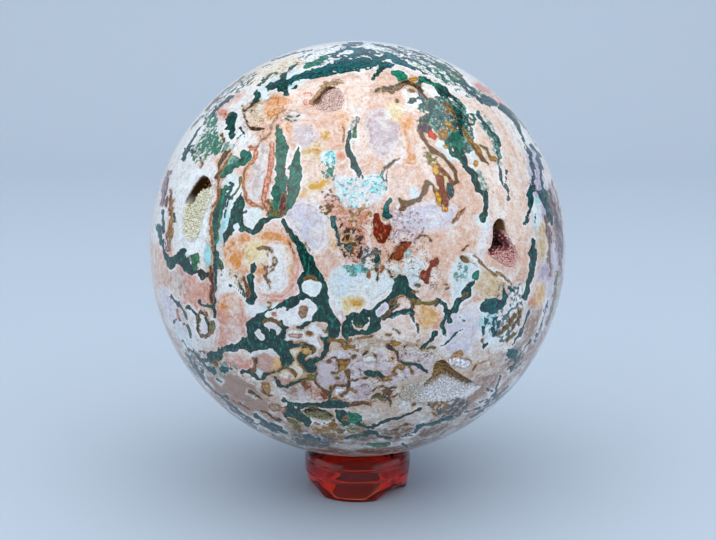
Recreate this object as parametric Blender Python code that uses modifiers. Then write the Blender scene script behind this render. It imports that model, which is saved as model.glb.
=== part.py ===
"""A polished moss agate sphere, 150 mm across, on a small ring stand of red glass.

Metres, +Z up. The origin is the middle of the stand's base, and the side with the open crystal
pockets looks along -Y. The ball is one stone with pockets and pits cut into it, each pocket is
lined with a crust of fine crystals, and the ball rests on the rounded lip of the ring.
"""
import math
import random

import bmesh
import bpy
from mathutils import Matrix, Vector

MM = 0.001
GAP = 0.3 * MM                       # clearance that touching pieces keep

BALL_RADIUS = 75 * MM
BALL_SEGMENTS = 60
BALL_RINGS = 30

# The ring stand: its lip meets the ball on a circle of SEAT_RADIUS at SEAT_HEIGHT.
SEAT_RADIUS = 14 * MM
SEAT_HEIGHT = 17 * MM
RING_STEPS = 60
RING_PROFILE_MM = [                  # (radius, height), down the outside and back up the bore
    (14.0, 17.0), (15.8, 16.75), (17.5, 16.0), (19.0, 14.9), (19.7, 13.6),
    (19.9, 11.0), (19.7, 7.5), (19.2, 4.0), (18.8, 1.2), (17.9, 0.0),
    (14.2, 0.0), (13.0, 1.2), (12.3, 5.0), (12.2, 11.0), (12.5, 14.6), (13.1, 16.3),
]
ARCH_AZIMUTHS = (50.5, 170.5, -69.5)  # degrees from the front, one arch between each two feet
ARCH_RADIUS = 13.5 * MM
ARCH_DROP = 10.2 * MM                # how far below the table the arch's centre lies

BALL_CENTRE = Vector((0, 0, SEAT_HEIGHT + GAP + math.sqrt(BALL_RADIUS ** 2 - SEAT_RADIUS ** 2)))

# A pocket: azimuth and elevation of its middle in degrees, its depth, how far its deepest part
# leans off the middle, and its outline in millimetres on the stone (right, up).
POCKETS = {
    "left_pocket_druse": dict(
        azimuth=-48, elevation=18, depth=8.5, lean=(-0.6, 2.2),
        outline=[(-2.4, 8.7), (-0.1, 10.9), (3.9, 9.9), (6.6, 6.3), (7.4, 1.8), (6.3, -2.0),
                 (5.8, -5.6), (4.7, -9.6), (1.2, -11.2), (-3.0, -9.6), (-4.9, -5.0),
                 (-6.0, 0.6), (-4.6, 4.6)]),
    "right_pocket_druse": dict(
        azimuth=38, elevation=10, depth=8.0, lean=(-0.5, 1.4),
        outline=[(0.7, 8.3), (2.9, 6.9), (3.2, 3.8), (4.6, 0.7), (6.6, -2.1), (7.4, -4.8),
                 (5.8, -7.4), (2.2, -7.4), (-1.6, -5.4), (-5.6, -2.4), (-4.0, 0.4),
                 (-2.9, 3.4), (-2.2, 6.4)]),
    "lower_pocket_druse": dict(
        azimuth=23, elevation=-26, depth=8.5, lean=(0.6, 1.4),
        outline=[(-12.9, -3.5), (-11.6, 1.7), (-7.4, 3.0), (-3.9, 4.6), (-3.6, 9.6), (-0.7, 11.0),
                 (3.1, 7.2), (7.2, 3.8), (14.2, -2.2), (10.6, -5.4), (6.2, -7.8), (0.0, -6.9),
                 (-7.4, -6.4)]),
    "upper_pocket_druse": dict(
        azimuth=-11, elevation=51, depth=5.0, lean=(-0.6, 0.8),
        outline=[(-4.9, -2.6), (-3.5, 1.0), (-2.5, 4.3), (-0.6, 5.8), (2.2, 4.7), (4.4, 1.6),
                 (5.0, -2.4), (3.2, -5.3), (0.2, -6.0), (-3.0, -5.2)]),
    "slot_druse": dict(
        azimuth=-12, elevation=-35, depth=4.5, lean=(0.0, 0.4),
        outline=[(-5.4, 0.4), (-3.4, 2.7), (-0.3, 3.2), (2.4, 2.3), (4.6, 0.7), (5.2, -1.6),
                 (2.6, -3.1), (-0.6, -2.5), (-3.6, -1.7)]),
    "back_pocket_druse": dict(
        azimuth=152, elevation=16, depth=7.5, lean=(0.8, 1.0),
        outline=[(-8.6, -2.0), (-6.2, 2.4), (-2.4, 4.0), (0.6, 7.4), (4.0, 6.0), (4.8, 2.2),
                 (8.2, -0.6), (6.4, -4.4), (1.8, -5.2), (-3.4, -6.0)]),
}
WALL_RINGS = [(0.0, 1.0), (0.45, 0.95), (0.8, 0.76), (1.0, 0.48)]  # (share of depth, share of outline)
POCKET_RISE = 6 * MM                 # how far a pocket's cutter stands out of the ball
CRUST_RIM_DEPTH = 1.0 * MM           # the crystals stop this far below the polish
CAVITY_SHARE = 0.74                  # the open hollow's outline against the pocket's
CAVITY_FLOOR = 1.9 * MM              # crust thickness on the floor
CRYSTAL_POINT = 0.5 * MM             # height of the crust's points

# Small pits: azimuth, elevation, length and width in millimetres, turn in degrees.
FRONT_PITS = [
    (-7.1, -17.0, 1.9, 1.9, 0), (-2.4, -20.1, 3.4, 1.9, 80), (-5.3, -22.0, 1.8, 1.6, 0),
    (-17.0, -20.9, 3.8, 2.0, -55), (-11.7, -9.6, 2.6, 1.9, -25), (16.6, -31.6, 2.0, 1.4, 60),
    (7.5, -26.2, 2.8, 1.9, -20), (27.0, 7.6, 2.8, 1.8, -35), (-0.9, -15.5, 2.0, 1.6, 0),
    (-3.4, -26.8, 2.8, 1.8, 40), (33.5, -13.9, 1.8, 1.6, 0), (-51.1, 28.8, 2.6, 1.8, 60),
    (23.4, 53.7, 2.0, 1.8, 0),
]
HIDDEN_PITS = 9                      # spread over the far side of the ball
PIT_DEPTH = 0.9 * MM
PIT_SEED = 21


def make_material(name, colour, roughness, metallic=0.0, transmission=0.0, ior=1.5):
    material = bpy.data.materials.new(name)
    material.use_nodes = True
    shader = material.node_tree.nodes["Principled BSDF"]
    shader.inputs["Base Color"].default_value = (*colour, 1.0)
    shader.inputs["Roughness"].default_value = roughness
    shader.inputs["Metallic"].default_value = metallic
    shader.inputs["Transmission Weight"].default_value = transmission
    shader.inputs["IOR"].default_value = ior
    return material


def new_object(name, mesh, collection, material=None):
    item = bpy.data.objects.new(name, mesh)
    collection.objects.link(item)
    if material:
        mesh.materials.append(material)
    return item


def mesh_from(bm, name):
    mesh = bpy.data.meshes.new(name)
    bmesh.ops.recalc_face_normals(bm, faces=bm.faces)
    bm.to_mesh(mesh)
    bm.free()
    return mesh


def hide_cutter(item):
    item.hide_render = True
    item.display_type = 'WIRE'


def boolean(item, operation, other):
    modifier = item.modifiers.new(f"{operation.lower()} {other.name}", 'BOOLEAN')
    modifier.operation = operation
    modifier.solver = 'EXACT'
    modifier.object = other


def on_ball(azimuth, elevation, turn=0):
    """The place on the stone at that azimuth and elevation: X right, Y up the ball, Z outward."""
    return (Matrix.Translation(BALL_CENTRE)
            @ Matrix.Rotation(math.radians(azimuth), 4, 'Z')
            @ Matrix.Rotation(math.radians(90 - elevation), 4, 'X')
            @ Matrix.Translation((0, 0, BALL_RADIUS))
            @ Matrix.Rotation(math.radians(turn), 4, 'Z'))


def pocket_mesh(name, pocket, share=1.0, rise=0.0, points=0.0):
    """A pocket as a solid: its outline carried inward ring by ring, narrowing to the floor.

    share scales the outline, rise lifts the floor, and points sets a crystal point on each
    wall face, pointing into the hollow.
    """
    depth = pocket["depth"] * MM - rise
    lean = Vector((*pocket["lean"], 0)) * MM
    outline = [Vector((x, y, 0)) * MM * share for x, y in pocket["outline"]]
    bm = bmesh.new()
    top = [bm.verts.new(point + Vector((0, 0, POCKET_RISE))) for point in outline]
    face = bm.faces.new(top)
    for fraction, scale in WALL_RINGS:
        step = bmesh.ops.extrude_face_region(bm, geom=[face])
        bmesh.ops.delete(bm, geom=[face], context='FACES_ONLY')
        face = next(part for part in step["geom"] if isinstance(part, bmesh.types.BMFace))
        floor = lean * fraction - Vector((0, 0, depth * fraction))
        for loop, point in zip(face.loops, outline):
            loop.vert.co = point * scale + floor
    bm.faces.new(top)
    bmesh.ops.recalc_face_normals(bm, faces=bm.faces)
    if points:
        below = [part for part in bm.faces if part.calc_center_median().z < 0]
        bmesh.ops.poke(bm, faces=below, offset=-points)
    return mesh_from(bm, name)


def build_pocket(node, pocket, ball, pieces, cutters, material):
    """Cut one pocket into the ball and line it with its crust of crystals."""
    place = on_ball(pocket["azimuth"], pocket["elevation"])
    cutter = new_object(f"{node}_cutter", pocket_mesh(f"{node}_cutter", pocket), cutters)
    hollow = new_object(f"{node}_hollow", pocket_mesh(
        f"{node}_hollow", pocket, CAVITY_SHARE, CAVITY_FLOOR, CRYSTAL_POINT), cutters)
    crust = new_object(node, pocket_mesh(node, pocket), pieces, material)
    for item in (cutter, hollow, crust):
        item.matrix_world = place
    for item in (cutter, hollow):
        hide_cutter(item)
    boolean(ball, 'DIFFERENCE', cutter)
    clearance = crust.modifiers.new("gap to the stone", 'DISPLACE')
    clearance.direction = 'NORMAL'
    clearance.mid_level = 0
    clearance.strength = -GAP
    boolean(crust, 'INTERSECT', cutters.objects["crust_trim"])
    boolean(crust, 'DIFFERENCE', hollow)


def uv_ball(radius, name):
    bm = bmesh.new()
    bmesh.ops.create_uvsphere(bm, u_segments=BALL_SEGMENTS, v_segments=BALL_RINGS, radius=radius)
    return mesh_from(bm, name)


def hidden_pits():
    """Pits on the far side of the ball, at least 12 degrees apart and clear of its pocket."""
    rng = random.Random(PIT_SEED)
    back = POCKETS["back_pocket_druse"]
    taken = [(on_ball(back["azimuth"], back["elevation"]).translation - BALL_CENTRE, 18)]
    pits = []
    while len(pits) < HIDDEN_PITS:
        azimuth, elevation = rng.uniform(75, 285), rng.uniform(-45, 60)
        place = on_ball(azimuth, elevation).translation - BALL_CENTRE
        if all(math.degrees(place.angle(other)) > apart for other, apart in taken):
            taken.append((place, 12))
            pits.append((azimuth, elevation, rng.uniform(1.8, 3.4), rng.uniform(1.6, 2.0),
                         rng.uniform(0, 180)))
    return pits


def pits_mesh():
    """Every pit's cutter in one mesh: small flattened balls half sunk in the surface."""
    bm = bmesh.new()
    for azimuth, elevation, length, width, turn in FRONT_PITS + hidden_pits():
        shape = Matrix.Diagonal((length / 2 * MM, width / 2 * MM, PIT_DEPTH, 1))
        bmesh.ops.create_uvsphere(bm, u_segments=8, v_segments=5, radius=1,
                                  matrix=on_ball(azimuth, elevation, turn) @ shape)
    return mesh_from(bm, "pits")


def build_ball(pieces, cutters):
    ball = new_object("agate_ball", uv_ball(BALL_RADIUS, "agate_ball"), pieces,
                      make_material("polished moss agate", (0.62, 0.50, 0.44), 0.12))
    ball.location = BALL_CENTRE
    trim = new_object("crust_trim", uv_ball(BALL_RADIUS - CRUST_RIM_DEPTH, "crust_trim"), cutters)
    trim.location = BALL_CENTRE
    hide_cutter(trim)
    druse = make_material("quartz druse", (0.78, 0.70, 0.64), 0.35)
    for node, pocket in POCKETS.items():
        build_pocket(node, pocket, ball, pieces, cutters, druse)
    pits = new_object("pits", pits_mesh(), cutters)
    hide_cutter(pits)
    boolean(ball, 'DIFFERENCE', pits)


def build_ring(pieces, cutters):
    """The ring: its profile turned about Z, with an arch cut between each two feet."""
    bm = bmesh.new()
    corners = [bm.verts.new((r * MM, 0, z * MM)) for r, z in RING_PROFILE_MM]
    for first, second in zip(corners, corners[1:] + corners[:1]):
        bm.edges.new((first, second))
    mesh = bpy.data.meshes.new("ring_stand")
    bm.to_mesh(mesh)
    bm.free()
    glass = make_material("pressed red glass", (0.50, 0.04, 0.01), 0.08, transmission=0.9)
    ring = new_object("ring_stand", mesh, pieces, glass)
    turn = ring.modifiers.new("turned profile", 'SCREW')
    turn.steps = turn.render_steps = RING_STEPS
    turn.use_merge_vertices = True
    turn.merge_threshold = 0.00001
    turn.use_normal_calculate = True
    for azimuth in ARCH_AZIMUTHS:
        bm = bmesh.new()
        bmesh.ops.create_cone(bm, cap_ends=True, segments=64, radius1=ARCH_RADIUS,
                              radius2=ARCH_RADIUS, depth=20 * MM)
        arch = new_object(f"arch_{azimuth:.0f}", mesh_from(bm, "arch"), cutters)
        arch.matrix_world = (Matrix.Rotation(math.radians(azimuth), 4, 'Z')
                             @ Matrix.Translation((0, -17 * MM, -ARCH_DROP))
                             @ Matrix.Rotation(math.radians(90), 4, 'X'))
        hide_cutter(arch)
        boolean(ring, 'DIFFERENCE', arch)


def main():
    for item in list(bpy.data.objects):
        bpy.data.objects.remove(item)
    pieces = bpy.data.collections.new("moss agate sphere")
    cutters = bpy.data.collections.new("cutters")
    for collection in (pieces, cutters):
        bpy.context.scene.collection.children.link(collection)
    build_ring(pieces, cutters)
    build_ball(pieces, cutters)


main()
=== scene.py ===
# %% [markdown]
# # A moss agate sphere on its pressed-glass ring
#
# The object is a ball of moss agate, 150 mm across, cut and polished from one rough stone. It has five
# open pockets on this side and one behind, each lined with a crust of fine quartz crystals, and it sits
# on a small ring of red glass. Everything that shows in the cut face is a section through the stone:
# pink and cream agate, white quartz, and veins of green mineral that look like moss.
#
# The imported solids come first. They fix the sizes and places, and every piece below is built over them.

# %% Load the solids
import math
import random

import bpy
import numpy as np
from mathutils import Matrix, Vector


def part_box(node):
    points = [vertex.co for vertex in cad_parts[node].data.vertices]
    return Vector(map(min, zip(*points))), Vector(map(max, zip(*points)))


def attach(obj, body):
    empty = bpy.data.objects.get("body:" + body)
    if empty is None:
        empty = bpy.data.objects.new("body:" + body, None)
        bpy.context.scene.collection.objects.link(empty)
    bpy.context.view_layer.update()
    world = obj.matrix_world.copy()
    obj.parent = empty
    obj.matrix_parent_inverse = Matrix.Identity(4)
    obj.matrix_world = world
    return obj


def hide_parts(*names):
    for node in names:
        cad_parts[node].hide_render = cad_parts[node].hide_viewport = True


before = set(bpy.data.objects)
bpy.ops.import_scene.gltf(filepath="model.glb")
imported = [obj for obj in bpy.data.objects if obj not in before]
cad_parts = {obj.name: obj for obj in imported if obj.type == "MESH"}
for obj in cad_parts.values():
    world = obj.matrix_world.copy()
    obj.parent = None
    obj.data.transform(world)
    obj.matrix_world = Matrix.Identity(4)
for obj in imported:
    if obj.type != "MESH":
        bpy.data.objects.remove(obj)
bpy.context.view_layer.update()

MM = 0.001
ball_low, ball_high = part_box("agate_ball")
BALL_RADIUS_MM = (ball_high.x - ball_low.x) / 2 / MM
BALL_CENTRE = np.array([0.0, 0.0, ball_high.z - BALL_RADIUS_MM * MM])
POLISHED_RADIUS_MM = BALL_RADIUS_MM - 0.02       # just inside the solid's corners
print("ball radius", round(BALL_RADIUS_MM, 2), "mm, centre height", round(BALL_CENTRE[2] / MM, 2), "mm")

# %% [markdown]
# ## The camera
#
# The camera is settled first, because the markings are drawn as the photograph shows them and are then
# carried onto the ball along the camera's own lines of sight. The ball's apparent radius and distance
# give the lens: a ball of radius R seen from a distance D covers a half angle of asin(R / D).

# %% The photograph's viewpoint
PHOTO_WIDTH, PHOTO_HEIGHT = 716, 540
BALL_IN_PHOTO = (357.5, 249.4)                   # the ball's middle, in photo pixels
BALL_RADIUS_IN_PHOTO = 208.0
CAMERA_DISTANCE_MM = 450.0
CAMERA_ELEVATION = math.radians(11.1)
SENSOR_MM = 36.0


def unit(v):
    """Each vector divided by its own length."""
    v = np.asarray(v, float)
    return v / np.linalg.norm(v, axis=-1, keepdims=True)


focal_px = BALL_RADIUS_IN_PHOTO / math.tan(math.asin(BALL_RADIUS_MM / CAMERA_DISTANCE_MM))
camera_from_ball = CAMERA_DISTANCE_MM * np.array([0, -math.cos(CAMERA_ELEVATION), math.sin(CAMERA_ELEVATION)])
TO_BALL = unit(-camera_from_ball)
RIGHT = np.array([1.0, 0.0, 0.0])
UP = np.cross(RIGHT, TO_BALL)
pitch = math.atan((PHOTO_HEIGHT / 2 - BALL_IN_PHOTO[1]) / focal_px)
yaw = math.atan((PHOTO_WIDTH / 2 - BALL_IN_PHOTO[0]) / focal_px)
level_forward = TO_BALL * math.cos(pitch) - UP * math.sin(pitch)
VIEW_UP = np.cross(RIGHT, level_forward)
VIEW_FORWARD = level_forward * math.cos(yaw) + RIGHT * math.sin(yaw)
VIEW_RIGHT = np.cross(VIEW_FORWARD, VIEW_UP)

camera = bpy.data.objects.new("camera", bpy.data.cameras.new("camera"))
bpy.context.scene.collection.objects.link(camera)
camera.data.sensor_width = SENSOR_MM
camera.data.lens = focal_px * SENSOR_MM / PHOTO_WIDTH
camera.data.clip_start, camera.data.clip_end = 0.02, 20
axes = Matrix((VIEW_RIGHT, VIEW_UP, -VIEW_FORWARD)).transposed().to_4x4()
axes.translation = BALL_CENTRE + camera_from_ball * MM
camera.matrix_world = axes
bpy.context.scene.camera = camera
print("lens", round(camera.data.lens, 2), "mm")

# %% [markdown]
# ## From the photograph to the stone and back
#
# A marking is a list of points in photo pixels. Near the ball's edge one pixel covers many millimetres, so
# past 70 degrees from the camera's axis the chart stops following perspective and runs on evenly. That
# keeps the chart usable right round to the back, and nothing is squeezed into the last pixel of the rim.

# %% The chart
CHART_LIMIT = math.radians(70)
CHART_RUN_ON = 0.7 / math.radians(1)             # photo pixels for each radian past the limit
PX_PER_MM = focal_px / (CAMERA_DISTANCE_MM - BALL_RADIUS_MM) * 0.845     # mean over the facing half


def reach_px(theta):
    """How far from the ball's middle, in pixels, a place at angle theta from the camera's axis appears:
    the focal length times R sin(theta) / (D - R cos(theta)), then the even run past the limit."""
    t = np.minimum(theta, CHART_LIMIT)
    seen = focal_px * BALL_RADIUS_MM * np.sin(t) / (CAMERA_DISTANCE_MM - BALL_RADIUS_MM * np.cos(t))
    return seen + CHART_RUN_ON * (theta - t)


def chart_of(directions):
    """Photo pixels of places on the ball, given as unit vectors from its centre."""
    along = -directions @ TO_BALL
    theta = np.arccos(np.clip(along, -1, 1))
    side = unit(directions + along[:, None] * TO_BALL + 1e-12 * RIGHT)
    sight = TO_BALL + side * (reach_px(theta) / focal_px)[:, None]
    depth = sight @ VIEW_FORWARD
    return np.stack([PHOTO_WIDTH / 2 + focal_px * (sight @ VIEW_RIGHT) / depth,
                     PHOTO_HEIGHT / 2 - focal_px * (sight @ VIEW_UP) / depth], 1), theta


def place_on_ball(pixels):
    """The places on the ball, in mm from its centre, that lie behind these photo pixels. In the triangle
    of camera, ball centre and place, the sine rule gives the angle at the place."""
    x, y = np.asarray(pixels, float).T
    sight = unit(VIEW_FORWARD + np.outer((x - PHOTO_WIDTH / 2) / focal_px, VIEW_RIGHT)
                 + np.outer((PHOTO_HEIGHT / 2 - y) / focal_px, VIEW_UP))
    along = sight @ TO_BALL
    side = unit(sight - np.outer(along, TO_BALL))
    off_axis = np.arccos(np.clip(along, -1, 1))
    sine = np.sin(off_axis) * CAMERA_DISTANCE_MM / BALL_RADIUS_MM
    theta = np.arcsin(np.clip(sine, 0, 1)) - off_axis
    past = CHART_LIMIT + (np.tan(off_axis) * focal_px - reach_px(CHART_LIMIT)) / CHART_RUN_ON
    theta = np.where(np.tan(off_axis) * focal_px > reach_px(CHART_LIMIT), past, theta)
    return BALL_RADIUS_MM * (side * np.sin(theta)[:, None] - np.outer(np.cos(theta), TO_BALL))


print("limit of true perspective", round(float(reach_px(CHART_LIMIT)), 1), "px,",
      round(PX_PER_MM, 2), "px per mm")

# %% [markdown]
# ## A fine ball
#
# A sphere of rings and sectors crowds its points at two poles. Here the ball is a cube blown up to a sphere:
# six square grids whose spacing is even in angle. A conformal pull, tan(new / 2) = k tan(old / 2), then
# gathers the points toward the side with the pockets, where half a millimetre between points is enough to
# carry the drawing, and every grid cell stays square.

# %% Six grids, joined and pulled
GRID_CELLS = 128
FRONT_PULL = 0.62


def cube_ball(cells, pull):
    """Unit directions and quads of a cube grown to a sphere. On each face, two parameters from -1 to 1
    turn into tangents of up to 45 degrees beside the face's own axis."""
    t = np.tan(np.linspace(-1, 1, cells + 1) * math.pi / 4)
    a, b = np.meshgrid(t, t, indexing="ij")
    corner = np.arange((cells + 1) ** 2).reshape(cells + 1, cells + 1)
    quads = np.stack([corner[:-1, :-1], corner[1:, :-1], corner[1:, 1:], corner[:-1, 1:]], -1).reshape(-1, 4)
    toward, right, up = -TO_BALL, RIGHT, UP
    faces = [(toward, right, up), (-toward, up, right), (right, up, toward),
             (-right, toward, up), (up, toward, right), (-up, right, toward)]
    points = np.concatenate([(n + a[..., None] * u + b[..., None] * v).reshape(-1, 3) for n, u, v in faces])
    loops = np.concatenate([quads + k * len(corner.ravel()) for k in range(6)])
    points = unit(points)
    _, first, same = np.unique(np.round(points, 6), axis=0, return_index=True, return_inverse=True)
    points, loops = points[first], same.ravel()[loops]
    along = points @ toward
    theta = np.arccos(np.clip(along, -1, 1))
    side = unit(points - np.outer(along, toward) + 1e-12 * RIGHT)
    theta = 2 * np.arctan(pull * np.tan(np.minimum(theta, math.pi - 1e-9) / 2))
    return side * np.sin(theta)[:, None] + np.outer(np.cos(theta), toward), loops


ball_directions, ball_quads = cube_ball(GRID_CELLS, FRONT_PULL)
centres = ball_directions[ball_quads].mean(1)
edge_a = ball_directions[ball_quads[:, 1]] - ball_directions[ball_quads[:, 0]]
edge_b = ball_directions[ball_quads[:, 3]] - ball_directions[ball_quads[:, 0]]
inward = (np.cross(edge_a, edge_b) * centres).sum(1) < 0
ball_quads[inward] = ball_quads[inward][:, ::-1]
print(len(ball_directions), "points,", 2 * len(ball_quads), "triangles,", int(inward.sum()), "quads turned")

# %% [markdown]
# ## Outlines
#
# Everything drawn on the stone and every pocket's mouth starts as a few listed points. A Catmull-Rom
# curve rounds them, and a signed distance, positive inside, says how deep each place lies within the outline.
# A distance is a better thing to store than a colour: it changes evenly between two points of the mesh, so
# the material can cut it anywhere and the edge stays sharp, ragged or soft as the stone needs.

# %% Curves and distances
def smooth_curve(points, closed, spacing):
    """Catmull-Rom through the points: each stretch is a cubic whose slopes at its two ends are half the
    step between the neighbours on either side."""
    p = np.asarray(points, float)
    p = np.concatenate([p[-1:], p, p[:2]]) if closed else np.concatenate([p[:1], p, p[-1:]])
    rows = []
    for a, b, c, d in zip(p[:-3], p[1:-2], p[2:-1], p[3:]):
        steps = max(1, math.ceil(np.linalg.norm(c - b) / spacing))
        t = (np.arange(steps) / steps)[:, None]
        rows.append(b + 0.5 * t * ((c - a) + t * ((2 * a - 5 * b + 4 * c - d) + t * (3 * (b - c) + d - a))))
    if not closed:
        rows.append(p[-2:-1])
    return np.concatenate(rows)


def distance_to_line(places, line, closed):
    """Shortest distance from each place to a chain of straight pieces, the nearest point on it, and the number
    of the piece that holds that point."""
    a = line if closed else line[:-1]
    b = np.roll(line, -1, 0) if closed else line[1:]
    step = b - a
    length2 = np.maximum((step ** 2).sum(1), 1e-12)
    rows = []
    for start in range(0, len(places), 4000):
        p = places[start:start + 4000]
        t = np.clip((p @ step.T - (a * step).sum(1)) / length2, 0, 1)
        foot = a[None] + t[..., None] * step[None]
        gap = np.linalg.norm(foot - p[:, None], axis=-1)
        k = gap.argmin(1)
        own = np.arange(len(p))
        rows.append(np.column_stack([gap[own, k], foot[own, k], k]))
    rows = np.concatenate(rows)
    return rows[:, 0], rows[:, 1:-1], rows[:, -1]


def inside(places, line):
    """True where a ray toward +x crosses the closed line an odd number of times."""
    (x1, y1), (x2, y2) = line.T, np.roll(line, -1, 0).T
    x, y = places[:, :1], places[:, 1:]
    crosses = (y1 > y) != (y2 > y)
    with np.errstate(divide="ignore", invalid="ignore"):
        at = x1 + (y - y1) * (x2 - x1) / (y2 - y1)
    return (crosses & (x < at)).sum(1) % 2 == 1


def smoothstep(low, high, value):
    """0 below low, 1 above high, and an even S between them."""
    t = np.clip((value - low) / (high - low), 0, 1)
    return t * t * (3 - 2 * t)


# %% [markdown]
# ## The open pockets
#
# Each pocket is a hollow that was left when the agate grew inward and was then opened by the saw. Its outline
# is in millimetres on the stone, the same as in the solid. Points of the ball near an outline are moved
# onto it, so the mouth is a clean closed line in the mesh, and the points inside it are carried down the
# wall and across the floor.

# %% Pockets, as the solids have them
POCKETS = {
    "left_pocket_druse": dict(
        azimuth=-48, elevation=18, depth=8.5, lean=(-0.6, 2.2),
        outline=[(-2.4, 8.7), (-0.1, 10.9), (3.9, 9.9), (6.6, 6.3), (7.4, 1.8), (6.3, -2.0),
                 (5.8, -5.6), (4.7, -9.6), (1.2, -11.2), (-3.0, -9.6), (-4.9, -5.0),
                 (-6.0, 0.6), (-4.6, 4.6)]),
    "right_pocket_druse": dict(
        azimuth=38, elevation=10, depth=8.0, lean=(-0.5, 1.4),
        outline=[(0.7, 8.3), (2.9, 6.9), (3.2, 3.8), (4.6, 0.7), (6.6, -2.1), (7.4, -4.8),
                 (5.8, -7.4), (2.2, -7.4), (-1.6, -5.4), (-5.6, -2.4), (-4.0, 0.4),
                 (-2.9, 3.4), (-2.2, 6.4)]),
    "lower_pocket_druse": dict(
        azimuth=23, elevation=-26, depth=8.5, lean=(0.6, 1.4),
        outline=[(-12.9, -3.5), (-11.6, 1.7), (-7.4, 3.0), (-3.9, 4.6), (-3.6, 9.6), (-0.7, 11.0),
                 (3.1, 7.2), (7.2, 3.8), (14.2, -2.2), (10.6, -5.4), (6.2, -7.8), (0.0, -6.9),
                 (-7.4, -6.4)]),
    "upper_pocket_druse": dict(
        azimuth=-11, elevation=51, depth=5.0, lean=(-0.6, 0.8),
        outline=[(-4.9, -2.6), (-3.5, 1.0), (-2.5, 4.3), (-0.6, 5.8), (2.2, 4.7), (4.4, 1.6),
                 (5.0, -2.4), (3.2, -5.3), (0.2, -6.0), (-3.0, -5.2)]),
    "slot_druse": dict(
        azimuth=-12, elevation=-35, depth=4.5, lean=(0.0, 0.4),
        outline=[(-5.4, 0.4), (-3.4, 2.7), (-0.3, 3.2), (2.4, 2.3), (4.6, 0.7), (5.2, -1.6),
                 (2.6, -3.1), (-0.6, -2.5), (-3.6, -1.7)]),
    "back_pocket_druse": dict(
        azimuth=152, elevation=16, depth=7.5, lean=(0.8, 1.0),
        outline=[(-8.6, -2.0), (-6.2, 2.4), (-2.4, 4.0), (0.6, 7.4), (4.0, 6.0), (4.8, 2.2),
                 (8.2, -0.6), (6.4, -4.4), (1.8, -5.2), (-3.4, -6.0)]),
}
WALL_DEPTHS = (0.0, 0.45, 0.8, 1.0, 1.0)         # share of the depth, from the mouth to the floor's middle
WALL_SHARES = (1.0, 0.95, 0.76, 0.48, 0.0)       # share of the outline there
WALL_STEPS = (0.0, 0.22, 0.42, 0.62, 1.0)        # how the ball's points are shared out along that way
WALL_GAP_MM = 0.3                                # clearance between stone and crust


def local_axes(azimuth, elevation):
    """Outward, right and up at a place on the ball. Azimuth 0 faces -Y and grows toward +X."""
    a, e = math.radians(azimuth), math.radians(elevation)
    out = np.array([math.sin(a) * math.cos(e), -math.cos(a) * math.cos(e), math.sin(e)])
    right = np.array([math.cos(a), math.sin(a), 0.0])
    return out, right, np.cross(out, right)


def share_of_outline(flat, line):
    """How far out a point lies on its ray from the outline's middle: 0 in the middle, 1 on the outline."""
    middle = line.mean(0)
    angle = np.arctan2(*(line - middle).T[::-1])
    order = angle.argsort()
    radius = np.linalg.norm(line - middle, axis=1)
    here = flat - middle
    at = np.interp(np.arctan2(here[:, 1], here[:, 0]), angle[order], radius[order], period=2 * math.pi)
    return np.linalg.norm(here, axis=1) / at


sphere_mm = ball_directions * POLISHED_RADIUS_MM          # points on the unbroken sphere
carved_mm = sphere_mm.copy()                              # where the pockets and pits take them
hollow_mm = np.zeros(len(sphere_mm))                      # depth under the polish
SNAP_MM = 0.38
pocket_lines = {}
for name, pocket in POCKETS.items():
    out, right, up = local_axes(pocket["azimuth"], pocket["elevation"])
    line = smooth_curve(pocket["outline"], True, 0.3)
    pocket_lines[name] = line
    near = np.flatnonzero((sphere_mm @ out > 0) & (np.hypot(sphere_mm @ right, sphere_mm @ up) < 20))
    flat = np.stack([sphere_mm[near] @ right, sphere_mm[near] @ up], 1)
    away, foot, _ = distance_to_line(flat, line, True)
    snap = away < SNAP_MM * (1.6 if name == "back_pocket_druse" else 1)
    flat[snap] = foot[snap]
    height = np.sqrt(POLISHED_RADIUS_MM ** 2 - (flat ** 2).sum(1))
    sphere_mm[near] = flat[:, :1] * right + flat[:, 1:] * up + height[:, None] * out
    within = inside(flat, line) & ~snap
    step = 1 - np.clip(share_of_outline(flat[within], line), 0, 1)
    share = np.interp(step, WALL_STEPS, WALL_SHARES)
    down = np.interp(step, WALL_STEPS, WALL_DEPTHS)
    middle = line.mean(0)
    ratio = share / np.maximum(1 - step, 1e-6)
    moved = middle + (flat[within] - middle) * ratio[:, None] + np.outer(down, pocket["lean"])
    mouth = np.sqrt(POLISHED_RADIUS_MM ** 2 - (moved ** 2).sum(1))
    depth = down * pocket["depth"]
    chosen = near[within]
    carved_mm[near] = sphere_mm[near]
    carved_mm[chosen] = moved[:, :1] * right + moved[:, 1:] * up + (mouth - depth)[:, None] * out
    hollow_mm[chosen] = depth
print(int((hollow_mm > 0).sum()), "points carried into", len(POCKETS), "pockets")

# %% [markdown]
# ## Small pits
#
# Where the saw just met the tip of a smaller hollow it left a dimple one to four millimetres long. Each is
# a shallow bowl: its depth falls off as (1 - r squared) from the middle of a small turned ellipse.

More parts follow.
